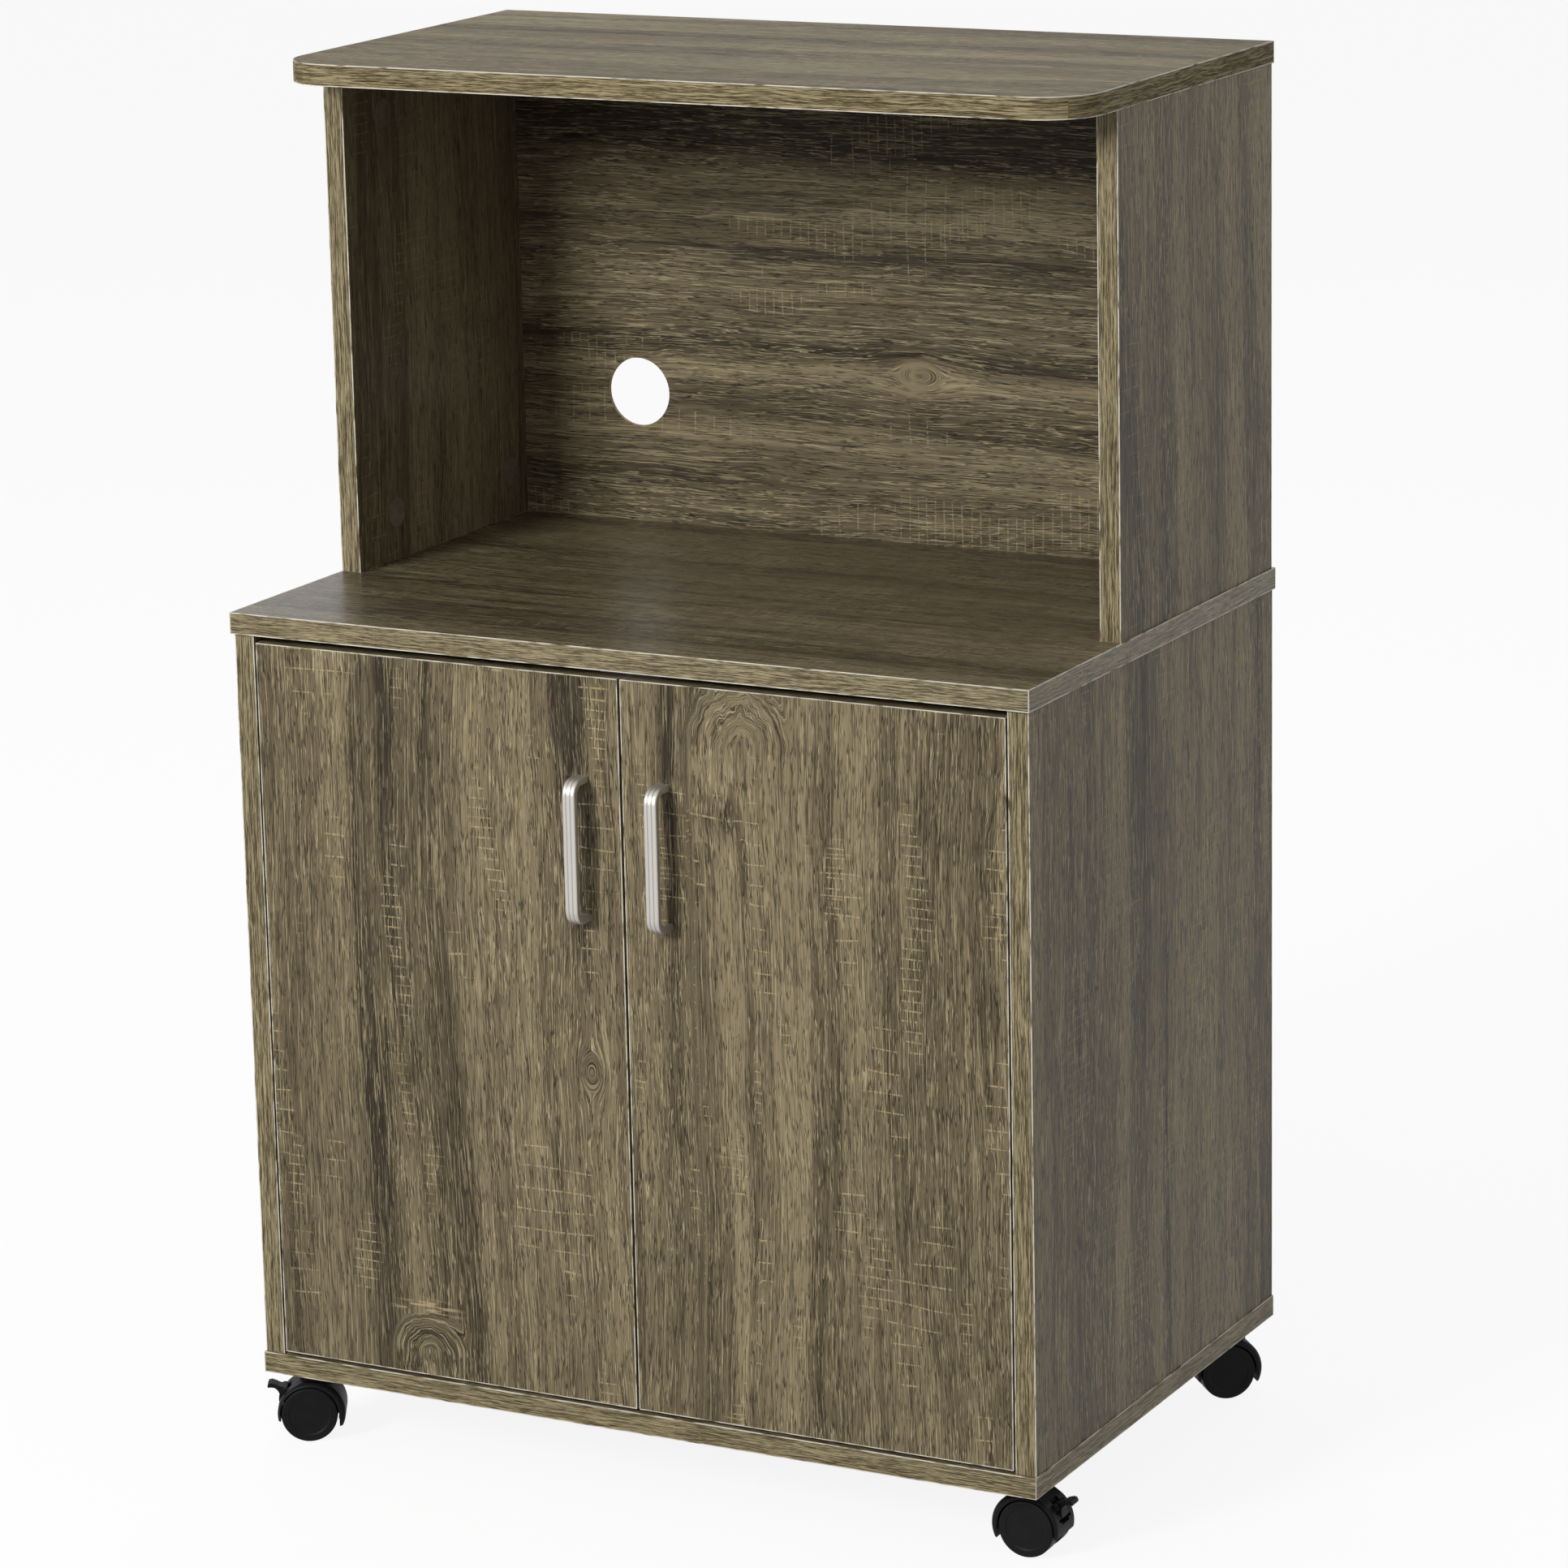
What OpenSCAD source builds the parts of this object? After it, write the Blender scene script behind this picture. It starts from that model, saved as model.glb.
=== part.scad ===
// Rolling microwave cart: a two-door cabinet on four twin-wheel casters, with a
// counter, an open bay for the oven above it and a round-cornered top.
// Millimetres. +X is the user's right, -Y the front, +Z up. The origin lies on
// the floor, under the middle of the space that the cart takes up.

/* [Boards] */
// Thickness of the particle boards
board_t = 15; // [15:0.5:18]
// Thickness of the two back panels
back_t = 3; // [2.5:0.5:4]
// Depth of the grooves that the back panels stand in
groove_depth = 5; // [3.5:0.5:6]
// Free play of a back panel in its grooves, each way
groove_play = 0.2; // [0.1:0.05:0.4]

/* [Counter and cabinet] */
// Width of the counter
counter_w = 604; // [480:1:800]
// Depth of the counter
counter_d = 404; // [360:1:520]
// Height of the cabinet's side boards
lower_side_h = 520; // [400:1:700]
// From the counter's end to the cabinet side's outer face
lower_side_inset = 1.8; // [0:0.1:10]
// From the counter's front edge to the front of sides and doors
lower_side_setback = 3; // [0:0.5:12]
// From the counter's rear edge to the rear of the cabinet sides
lower_side_back_gap = 1.5; // [0:0.5:10]
// From the counter's outline to the bottom board's, all round
bottom_inset = 1; // [0:0.5:3]
// From the cabinet sides' rear edge to the lower back panel
lower_back_gap = 12; // [8:1:20]

/* [Oven bay] */
// Height of the bay's side boards
upper_side_h = 352; // [280:1:450]
// From the counter's end to the bay side's outer face
upper_side_inset = 1.2; // [0:0.1:10]
// From the counter's front edge to the bay sides' front
upper_side_setback = 145; // [100:1:180]
// From the counter's rear edge to the rear of the bay sides
upper_side_back_gap = 4; // [0:0.5:12]
// From the bay sides' rear edge to the upper back panel
upper_back_gap = 15; // [10:1:22]
// From the counter's end to the top board's end
top_side_inset = 0; // [0:0.1:1]
// How far the top board reaches out in front of the bay sides
top_overhang = 64; // [20:1:90]
// From the counter's rear edge to the rear of the top board
top_back_gap = 3; // [0:0.5:10]
// Radius of the top board's two front corners
top_corner_r = 40; // [10:1:60]
// Diameter of the cable hole in the upper back panel
cable_hole_d = 50; // [30:1:70]
// From the left bay side's inner face to the cable hole's axis
cable_hole_in = 96.3; // [60:0.1:200]
// From the counter's face to the cable hole's axis
cable_hole_z = 95.5; // [60:0.5:200]

/* [Doors] */
// Gap between a door and the side board it hangs on
door_side_gap = 1.5; // [1.2:0.1:2.5]
// Gap between the two doors
door_middle_gap = 2; // [1.5:0.1:4]
// Gap above the doors
door_top_gap = 5.5; // [2:0.5:8]
// Gap below the doors
door_bottom_gap = 2; // [1:0.5:5]

/* [Handles] */
// Distance between the handle's two screws
handle_pitch = 96; // [64:32:160]
// Width of the handle's strap
handle_w = 9.5; // [8:0.5:14]
// Thickness of the strap in front of the fingers
handle_strap_t = 4.6; // [3.6:0.1:6]
// Height of each of the handle's two legs
handle_leg_h = 5; // [4.6:0.1:9]
// How far the handle stands out from the door
handle_reach = 20; // [18:1:30]
// Radius of the handle's outer bends
handle_bend_r = 11; // [8:0.5:14]
// Radius of the handle's inner bends
handle_inner_r = 6.5; // [3:0.5:8]
// Width of the two grooves along the strap
handle_flute_w = 0.9; // [0.6:0.1:1.5]
// Depth of the grooves along the strap
handle_flute_depth = 0.5; // [0.3:0.1:1]
// From the left door's meeting edge to its handle's middle
handle_inset_left = 28.6; // [20:0.1:60]
// From the right door's meeting edge to its handle's middle
handle_inset_right = 31.2; // [20:0.1:60]
// From the door's top to the handle's middle
handle_from_top = 118.5; // [90:0.5:200]

/* [Concealed hinges] */
// Diameter of the hinge cup's bore in the door
cup_d = 35; // [35:1:40]
// From the door's hinge edge to the cup's bore
cup_edge = 4; // [3:0.5:6]
// Depth of the cup's bore in the door
cup_depth = 12.5; // [12:0.1:12.8]
// Thickness of the pressed steel of cup and arm
hinge_steel_t = 1.2; // [0.8:0.1:1.4]
// From a door's end to the middle of its nearest hinge
hinge_from_end = 90; // [70:1:140]
// Width of the link between arm and cup
link_w = 9; // [7:0.5:9]
// Thickness of the link's bent bar
link_t = 2.2; // [1.6:0.1:2.4]
// Diameter of the hinge's pins
hinge_pin_d = 2.4; // [2:0.1:2.6]

/* [Casters] */
// Height of a caster from the floor to the bottom board
caster_h = 53; // [53:1:60]
// Diameter of the wheels
wheel_d = 40; // [38:1:40]
// Width of one wheel
wheel_w = 11; // [10:0.5:15]
// From the swivel axis back to the wheels' axle
caster_trail = 5; // [4:0.5:8]
// From the bottom board's end to the swivel axis
caster_inset_x = 24; // [22:0.5:40]
// The same for the front right caster
caster_inset_x_front_right = 25.5; // [22:0.5:40]
// From the bottom board's front edge to the front left swivel axis
caster_inset_front_left = 29; // [24:0.5:50]
// From the bottom board's front edge to the front right swivel axis
caster_inset_front_right = 41; // [24:0.5:50]
// From the bottom board's rear edge to the rear swivel axes
caster_inset_back = 26; // [24:0.5:50]
// Side of the square mounting plate
plate_side = 38; // [36:1:42]
// Turn of the front left caster as it stands
turn_front_left = 29; // [-180:1:180]
// Turn of the front right caster as it stands
turn_front_right = 181; // [0:1:360]
// Turn of the back left caster as it stands
turn_back_left = -28; // [-180:1:180]
// Turn of the back right caster as it stands
turn_back_right = 42; // [-180:1:180]

/* [Shelf] */
// From the bottom board's face to the shelf's underside
shelf_level = 250; // [120:1:380]
// Gap between each end of the shelf and the side board
shelf_end_gap = 1; // [0.5:0.25:2]
// From the doors' inner face to the shelf's front edge
shelf_setback = 18; // [8:1:60]
// Height from one row of shelf holes to the next
shelf_row_pitch = 32; // [20:1:50]

/* [Fittings] */
// Diameter of the cam nuts
cam_d = 15; // [12:1:15]
// From a side board's end to the cam nut's axis
cam_from_end = 34; // [24:1:34]
// Diameter of the stickers over the cam nuts
cover_d = 21; // [17:1:25]
// Diameter of the wooden dowels
dowel_d = 8; // [6:1:8]
// Length of the wooden dowels
dowel_l = 30; // [25:1:35]

/* [Hidden] */
$fn = 64;
eps = 0.01;
over = 1;

wood = "#6f5f4c";
wood_dark = "#5d4f40";
steel = "#b9bcc0";
satin = "#c9c8c6";
zinc = "#9da3a8";
black = "#232323";
beech = "#d9b98a";
white = "#e8e6e0";

// Levels, from the floor up
bottom_under = caster_h;
bottom_face = bottom_under + board_t;
counter_under = bottom_face + lower_side_h;
counter_face = counter_under + board_t;
top_under = counter_face + upper_side_h;

// Depth: the handles stand out in front of the counter, and the space taken up
// by both is centred on the origin
handle_overhang = handle_reach - lower_side_setback;
counter_front = -(counter_d - handle_overhang) / 2;
counter_back = counter_front + counter_d;
door_front = counter_front + lower_side_setback;
door_back = door_front + board_t;
lower_back = counter_back - lower_side_back_gap;
lower_panel_y = lower_back - lower_back_gap - back_t;
upper_front = counter_front + upper_side_setback;
upper_back = counter_back - upper_side_back_gap;
upper_panel_y = upper_back - upper_back_gap - back_t;
top_back = counter_back - top_back_gap;
top_front = upper_front - top_overhang;
top_w = counter_w - 2 * top_side_inset;
top_d = top_back - top_front;

// Half widths, from the middle plane
lower_outer = counter_w / 2 - lower_side_inset;
lower_inner = lower_outer - board_t;
upper_outer = counter_w / 2 - upper_side_inset;
upper_inner = upper_outer - board_t;
bottom_half = counter_w / 2 - bottom_inset;

// Back panels and their grooves
tongue = groove_depth - groove_play;
lower_panel_half = lower_inner + tongue;
upper_panel_half = upper_inner + tongue;

// Cam joints: a bolt stands in the level board and its head sits in a nut in the
// upright one
cam_depth = 12.5;
cam_play = 0.1;
bore_slack = 0.5;
cam_bore_r = cam_d / 2;
cam_slot_w = 7.4;
cam_cross_w = 1.6;
cam_cross_l = 9;
cam_cross_depth = 1.5;
bolt_bore_r = 4;
bolt_r = 2.5;
bolt_thread_l = 11;
bolt_tip = 0.8;
bolt_taper = 1;
bolt_collar_r = 3.6;
bolt_collar_h = 2;
bolt_neck_r = 1.8;
bolt_head_r = 3.2;
bolt_head_h = 3.6;
cover_t = 0.5;
dowel_play = 0.1;
dowel_in_level = 10;
dowel_in_upright = dowel_l - dowel_in_level;
dowel_tip = 1;

// Places along each joint, from the front and from the rear of the upright board
lower_cam_in = [70, 60];
lower_dowel_in = [33, 150, 95];
upper_cam_in = [51, 42];
upper_dowel_in = [22, 128];
lower_cam_y = [door_front + lower_cam_in[0], lower_back - lower_cam_in[1]];
lower_dowel_y = [door_front + lower_dowel_in[0], door_front + lower_dowel_in[1],
                 lower_back - lower_dowel_in[2]];
upper_cam_y = [upper_front + upper_cam_in[0], upper_back - upper_cam_in[1]];
upper_dowel_y = [upper_front + upper_dowel_in[0], upper_front + upper_dowel_in[1]];

// Each joint line: middle of the upright board, level of the joint, 1 if the
// upright board is above it or -1 if below, places of cams, places of dowels
lower_mid = lower_outer - board_t / 2;
upper_mid = upper_outer - board_t / 2;
JOINTS = [
    [lower_mid, bottom_face, 1, lower_cam_y, lower_dowel_y],
    [lower_mid, counter_under, -1, lower_cam_y, lower_dowel_y],
    [upper_mid, counter_face, 1, upper_cam_y, upper_dowel_y],
    [upper_mid, top_under, -1, upper_cam_y, upper_dowel_y]
];

// Doors
door_half = lower_inner - door_side_gap;
door_low = bottom_face + door_bottom_gap;
door_high = counter_under - door_top_gap;
meeting_edge = door_middle_gap / 2;

// Handles, screwed on from behind
function handle_x(side) = meeting_edge + (side < 0 ? handle_inset_left : handle_inset_right);
handle_z = door_high - handle_from_top;
handle_screw_r = 1.5;
handle_hole_r = 2;
handle_bore_play = 0.05;
handle_bore_l = 9;
handle_head_r = 3.4;
handle_head_h = 2.2;
handle_flute_x = 1.6;
cross_w = 0.9;
cross_l = 4;
cross_depth = 1;

// Hinges. The door turns about a line inside the cup, door_pivot, measured from
// the side board's inner face and from the door's front. A ground pin in the
// arm's nose carries the link, whose hook rides on the cup's pin.
pivot_from_bore = 8.5;
pivot_from_back = 10;
pin_spread = 3.5;
nose_from_back = 11;
door_pivot = [door_side_gap + cup_edge + pivot_from_bore, board_t - pivot_from_back];
cup_pin = door_pivot + [-pin_spread, pin_spread];
ground_pin = [door_pivot.x, board_t + nose_from_back];
link_elbow = ground_pin + [9.7, -10.5];
link_knee = ground_pin + [6.1, -20.4];
link_eye_r = 3;
link_hook_r = 2.95;
link_hook_play = 0.7;
link_hook_lip = 0.5;
link_mouth = link_hook_r + 0.3;
hinge_pin_play = 0.05;
cup_r = cup_d / 2;
cup_x = door_side_gap + cup_edge + cup_r;
cup_wall = 0.8;
cup_play = 0.1;
flange_t = 1.2;
flange_ring_r = cup_r + 1.3;
flange_w = 15;
flange_screw_out = 5;
flange_end = 4.5;
flange_screw_pitch = cup_d + 2 * flange_screw_out;
flange_l = flange_screw_pitch + 2 * flange_end;
flange_corner_r = 4;
cup_pin_reach = cup_x - cup_pin.x + hinge_pin_d / 2;
cup_pin_l = 2 * sqrt(pow(cup_r - cup_play, 2) - pow(cup_pin_reach, 2)) - 0.2;
arm_play = 1;
arm_w = link_w + 2 * arm_play + 2 * hinge_steel_t;
arm_nose_r = 4;
arm_high = 20.5;
arm_low = 13;
arm_back_start = ground_pin.y + 5;
arm_crank_in = 25;
arm_crank_y = board_t + arm_crank_in;
arm_crank_l = 8;
arm_base = 3;
arm_l = 52;
arm_end = ground_pin.y + arm_l;
ground_pin_l = arm_w + 1;
ridge_w = arm_w - 2 * hinge_steel_t - 1.2;
ridge_h = 5.4;
ridge_start = arm_crank_y;
wing_t = 2.5;
wing_in = 37;
wing_y = board_t + wing_in;
wing_w = 18;
wing_l = 46;
wing_screw_pitch = 32;
adjust_r = 2.5;
adjust_head_r = 3.6;
adjust_head_h = 1.8;
adjust_low = 1.5;
adjust_in = 38;
adjust_pitch = 16;
adjust_y = [board_t + adjust_in, board_t + adjust_in + adjust_pitch];
wood_screw_r = 1.75;
wood_screw_head_r = 3.4;
wood_screw_l = 12;
pan_head_h = 1.6;
pan_head_in = 0.5;
screw_play = 0.1;
HINGE_Z = [door_low + hinge_from_end, door_high - hinge_from_end];

// Magnetic catch under the counter, and the plates on the doors that it holds
catch_w = 46;
catch_d = 16;
catch_corner_r = 1.5;
catch_ear_w = 8;
catch_ear_t = 2.5;
catch_ear_d = 14;
catch_gap = 0.4;
catch_floor = 2;
magnet_w = 15;
magnet_h = 10;
magnet_plate_t = 1.8;
magnet_out = 0.3;
magnet_depth = 8;
magnet_x = 12.5;
strike_w = 17;
strike_h = 13;
strike_t = 1.2;
strike_corner_r = 2;
strike_z = door_high - 1 - strike_h / 2;
catch_under = strike_z - magnet_h / 2 - catch_floor;
catch_front = door_back + strike_t + catch_gap;

// Shelf
shelf_half = lower_inner - shelf_end_gap;
shelf_z = bottom_face + shelf_level;
shelf_front = door_back + shelf_setback;
shelf_back_gap = 2;
shelf_back = lower_panel_y - shelf_back_gap;
pin_r = 2.5;
pin_play = 0.05;
pin_in = 8;
pin_out = 9;
pin_tab_t = 2;
pin_tab_w = 8;
pin_tab_drop = 6;
pin_inset = 40;
pin_z = shelf_z - pin_r;
PIN_Y = [shelf_front + pin_inset, shelf_back - pin_inset];
PIN_ROWS = [-1, 0, 1];

// Casters, each in its own frame: the swivel axis is Z, and the wheels trail
// towards -X, where a braked caster has its lever
wheel_r = wheel_d / 2;
web_w = 9.4;
wheel_gap = 0.5;
wheel_in = web_w / 2 + wheel_gap;
wheel_out = wheel_in + wheel_w;
wheel_disc_t = 2.6;
wheel_rim_t = 3;
wheel_hub_r = 5;
wheel_bead_r = wheel_r - 5;
wheel_edge_r = 1.5;
wheel_dish = 0.6;
wheel_lip = 0.4;
axle_r = 2;
axle_play = 0.05;
axle_half = wheel_out - wheel_disc_t - 0.4;
plate_t = 2;
plate_corner_r = 4;
plate_hole_pitch = 28;
plate_hole_r = 2.2;
plate_gap = 0.3;
stem_r = 3;
stem_low = 38;
stem_play = 0.05;
hood_half = wheel_out + 0.4;
hood_well_r = wheel_r + 0.9;
hood_shoulder_r = 4;
hood_front_r = wheel_r + 3.2;
hood_shift = [2.5, 1];
hood_rear_r = wheel_r + 2.7;
hood_rear_low = wheel_r - 4.5;
hood_tip_low = wheel_r - 8.8;
hood_tip_x = wheel_r + 1.2;
hood_tip_start = wheel_r - 3;
web_r = wheel_r - 2.5;
neck_r = 12.2;
neck_low = 36;
neck_top = caster_h - plate_t - plate_gap;
brake_w = 10;
brake_gap = 0.6;
brake_pivot = [-17.8, 14.9];
brake_pin_r = 1.4;
brake_lug_r = 2.6;
brake_lug_t = 2.4;
brake_pin_l = brake_w + 2 * (brake_gap + brake_lug_t);

// The lever's side view, from the wheels' axle: a tip with ribs, a round back over
// the pivot and a foot with a bar that lies beside the treads
brake_side = [
    [-29.5, 17.3], [-29.7, 18.6], [-28.9, 20.1], [-26.8, 20.7], [-23.6, 19.5],
    [-20.6, 18.1], [-18.2, 17.7], [-15.9, 16.9], [-14.9, 14.9], [-15.6, 12.8],
    [-17.6, 10.6], [-18.4, 8.4], [-20, 6.6], [-22, 7.4], [-21.8, 10.2],
    [-21.4, 12.8], [-22.6, 15.2], [-24.6, 17], [-27, 17.4]
];
brake_bar = [[-19.5, 9.9], [-20.6, 7.5]];
brake_bar_t = 1.7;
brake_bar_l = 17;
brake_ribs = [[-28.5, 20.2], [-26.8, 20.6], [-25.1, 20.1], [-23.4, 19.4]];
brake_rib_r = 0.4;
lever_slot = [[-40, 3], [-40, 30], [-16, 30], [-12.8, 20], [-12.8, 11], [-16.5, 7.2],
              [-17.8, 3]];
bar_slot = [[-26, 5], [-26, 12], [-17, 12], [-18.5, 5]];
caster_x = bottom_half - caster_inset_x;
bottom_front = counter_front + bottom_inset;
bottom_back = counter_back - bottom_inset;
CASTERS = [
    [-caster_x, bottom_front + caster_inset_front_left, turn_front_left],
    [bottom_half - caster_inset_x_front_right, bottom_front + caster_inset_front_right,
     turn_front_right],
    [-caster_x, bottom_back - caster_inset_back, turn_back_left],
    [caster_x, bottom_back - caster_inset_back, turn_back_right]
];

// ---- shapes used by several pieces ----

module board(low, high) translate(low) cube(high - low);

// A rectangle round the origin with round corners
module round_rect(size, r) {
    square([size.x - 2 * r, size.y], center = true);
    square([size.x, size.y - 2 * r], center = true);
    for (x = [-1, 1], y = [-1, 1])
        translate([x * (size.x / 2 - r), y * (size.y / 2 - r)]) circle(r);
}

// A straight bar in the plane with round ends
module bar(from, to, t) {
    way = to - from;
    translate(from) rotate(atan2(way.y, way.x)) {
        translate([0, -t / 2]) square([norm(way), t]);
        circle(d = t);
        translate([norm(way), 0]) circle(d = t);
    }
}

// Countersunk wood screw: head at z = 0, point towards -z
module wood_screw(l) {
    tip = wood_screw_r;
    rotate_extrude() polygon([
        [0, 0], [wood_screw_head_r, 0],
        [wood_screw_r, -(wood_screw_head_r - wood_screw_r)],
        [wood_screw_r, -(l - tip)], [0, -l]
    ]);
}

// The hole that such a screw makes for itself
module screw_hole() {
    wood_screw(wood_screw_l);
    translate([0, 0, -wood_screw_l]) cylinder(r = wood_screw_r, h = wood_screw_l + over);
}

module cross_recess() for (a = [0, 90]) rotate(a)
    translate([0, 0, -cross_depth / 2 + eps])
        cube([cross_l, cross_w, cross_depth], center = true);

// ---- places ----

// The left-hand frame of a side board's inner face, or its mirror image
module on_side(side) {
    if (side < 0) translate([-lower_inner, door_front, 0]) children();
    else mirror([1, 0, 0]) translate([-lower_inner, door_front, 0]) children();
}

module at_hinges(side) on_side(side) for (z = HINGE_Z) translate([0, 0, z]) children();

// z runs from the joint up the upright board, x towards its inner face
module at_joint(j, side) translate([side * j[0], 0, j[1]])
    rotate([j[2] < 0 ? 180 : 0, 0, side > 0 ? 180 : 0])
        scale_y(j[2] * -side) children();

// Keeps y as it is in the cart's frame after the turns of at_joint
module scale_y(s) {
    if (s > 0) children();
    else mirror([0, 1, 0]) children();
}

module at_cams(j) for (side = [-1, 1]) at_joint(j, side)
    for (y = j[3]) translate([0, y, 0]) children();

module at_dowels(j) for (side = [-1, 1]) at_joint(j, side)
    for (y = j[4]) translate([0, y, 0]) children();

module at_caster(i) translate([CASTERS[i][0], CASTERS[i][1], 0]) children();

module turned_caster(i) at_caster(i) rotate([0, 0, CASTERS[i][2]]) children();

module at_wheel() translate([-caster_trail, 0, wheel_r]) children();

// ---- cuts for the fittings ----

module joint_cuts(j) {
    at_cams(j) {
        translate([board_t / 2 - cam_depth, 0, cam_from_end]) rotate([0, 90, 0])
            cylinder(r = cam_bore_r, h = cam_depth + over);
        translate([0, 0, -eps]) cylinder(r = bolt_bore_r, h = cam_from_end);
        translate([0, 0, -bolt_thread_l - bore_slack])
            cylinder(r = bolt_r, h = bolt_thread_l + bore_slack + eps);
    }
    at_dowels(j) translate([0, 0, -dowel_in_level - bore_slack])
        cylinder(r = dowel_d / 2 + dowel_play, h = dowel_l + 2 * bore_slack);
}

// Cuts the groove for a back panel out of whatever surrounds it
module groove(half, y, low, high)
    board([-half - groove_play, y - groove_play, low - groove_play],
          [half + groove_play, y + back_t + groove_play, high + groove_play]);

module lower_groove() groove(lower_panel_half, lower_panel_y,
    bottom_face - tongue, counter_under + tongue);

module upper_groove() groove(upper_panel_half, upper_panel_y,
    counter_face - tongue, top_under + tongue);

module shelf_holes(side) for (row = PIN_ROWS, y = PIN_Y)
    translate([side * (lower_inner + pin_in + bore_slack), y, pin_z + row * shelf_row_pitch])
        rotate([0, -90 * side, 0])
            cylinder(r = pin_r + pin_play, h = pin_in + bore_slack + over);

// ---- boards ----

module top_panel() color(wood) difference() {
    translate([0, 0, top_under]) linear_extrude(board_t) top_outline();
    upper_groove();
    joint_cuts(JOINTS[3]);
}

module top_outline() {
    translate([-top_w / 2, top_front + top_corner_r]) square([top_w, top_d - top_corner_r]);
    translate([-top_w / 2 + top_corner_r, top_front])
        square([top_w - 2 * top_corner_r, top_corner_r + eps]);
    for (s = [-1, 1])
        translate([s * (top_w / 2 - top_corner_r), top_front + top_corner_r])
            circle(top_corner_r);
}

module upper_side(side) color(wood) difference() {
    board([min(side * upper_inner, side * upper_outer), upper_front, counter_face],
          [max(side * upper_inner, side * upper_outer), upper_back, top_under]);
    upper_groove();
    joint_cuts(JOINTS[2]);
    joint_cuts(JOINTS[3]);
}

module upper_side_left() upper_side(-1);
module upper_side_right() upper_side(1);

module upper_back_panel() color(wood_dark) difference() {
    board([-upper_panel_half, upper_panel_y, counter_face - tongue],
          [upper_panel_half, upper_panel_y + back_t, top_under + tongue]);
    translate([cable_hole_in - upper_inner, upper_panel_y - over, counter_face + cable_hole_z])
        rotate([-90, 0, 0]) cylinder(d = cable_hole_d, h = back_t + 2 * over);
}

module counter_panel() color(wood) difference() {
    board([-counter_w / 2, counter_front, counter_under],
          [counter_w / 2, counter_back, counter_face]);
    upper_groove();
    lower_groove();
    joint_cuts(JOINTS[1]);
    joint_cuts(JOINTS[2]);
    at_catch_screws() screw_hole();
}

module lower_side(side) color(wood) difference() {
    board([min(side * lower_inner, side * lower_outer), door_front, bottom_face],
          [max(side * lower_inner, side * lower_outer), lower_back, counter_under]);
    lower_groove();
    joint_cuts(JOINTS[0]);
    joint_cuts(JOINTS[1]);
    shelf_holes(side);
    at_hinges(side) for (z = [-1, 1])
        translate([wing_t, wing_y, z * wing_screw_pitch / 2]) rotate([0, 90, 0]) screw_hole();
}

module lower_side_left() lower_side(-1);
module lower_side_right() lower_side(1);

module bottom_panel() color(wood) difference() {
    board([-bottom_half, bottom_front, bottom_under], [bottom_half, bottom_back, bottom_face]);
    lower_groove();
    joint_cuts(JOINTS[0]);
    for (i = [0:3]) at_caster(i) at_plate_holes() translate([0, 0, caster_h - eps])
        cylinder(r = wood_screw_r, h = wood_screw_l - plate_t);
}

module lower_back_panel() color(wood_dark)
    board([-lower_panel_half, lower_panel_y, bottom_face - tongue],
          [lower_panel_half, lower_panel_y + back_t, counter_under + tongue]);

module shelf() color(wood)
    board([-shelf_half, shelf_front, shelf_z], [shelf_half, shelf_back, shelf_z + board_t]);

// Pegs in the side boards that the shelf lies on, each with a tab that stops it
module shelf_pins() color(steel) for (side = [-1, 1], y = PIN_Y)
    translate([side * lower_inner, y, pin_z]) rotate([0, -90 * side, 0]) {
        translate([0, 0, -pin_in]) cylinder(r = pin_r, h = pin_in + pin_out);
        translate([-side * pin_tab_drop / 2, 0, pin_tab_t / 2])
            cube([pin_tab_drop, pin_tab_w, pin_tab_t], center = true);
    }

// ---- joints of the boards ----

module cam_nuts() color(zinc) for (j = JOINTS) at_cams(j) difference() {
    translate([board_t / 2 - cam_depth + cam_play, 0, cam_from_end]) rotate([0, 90, 0])
        cylinder(r = cam_bore_r - cam_play, h = cam_depth - 2 * cam_play);
    translate([-cam_slot_w / 2, -cam_slot_w / 2, cam_from_end - cam_bore_r - over])
        cube([cam_slot_w, cam_slot_w, cam_bore_r + over + cam_slot_w / 2]);
    for (a = [0, 90]) translate([board_t / 2 - cam_cross_depth, 0, cam_from_end])
        rotate([a, 0, 0]) translate([cam_cross_depth, 0, 0])
            cube([2 * cam_cross_depth, cam_cross_w, cam_cross_l], center = true);
}

module cam_bolts() color(steel) for (j = JOINTS) at_cams(j) rotate_extrude()
    polygon([
        [0, -bolt_thread_l], [bolt_r - bolt_tip, -bolt_thread_l],
        [bolt_r, bolt_tip - bolt_thread_l],
        [bolt_r, 0], [bolt_collar_r, 0], [bolt_collar_r, bolt_collar_h],
        [bolt_neck_r, bolt_collar_h + bolt_taper], [bolt_neck_r, cam_from_end - bolt_head_h],
        [bolt_head_r, cam_from_end - bolt_head_h + bolt_taper], [bolt_head_r, cam_from_end],
        [0, cam_from_end + bolt_taper]
    ]);

module cam_covers() color(wood_dark) for (j = JOINTS) at_cams(j)
    translate([board_t / 2, 0, cam_from_end]) rotate([0, 90, 0])
        cylinder(d = cover_d, h = cover_t);

module dowels() color(beech) for (j = JOINTS) at_dowels(j) rotate_extrude()
    polygon([
        [0, -dowel_in_level], [dowel_d / 2 - dowel_tip, -dowel_in_level],
        [dowel_d / 2, dowel_tip - dowel_in_level], [dowel_d / 2, dowel_in_upright - dowel_tip],
        [dowel_d / 2 - dowel_tip, dowel_in_upright], [0, dowel_in_upright]
    ]);

// ---- doors ----

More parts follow.
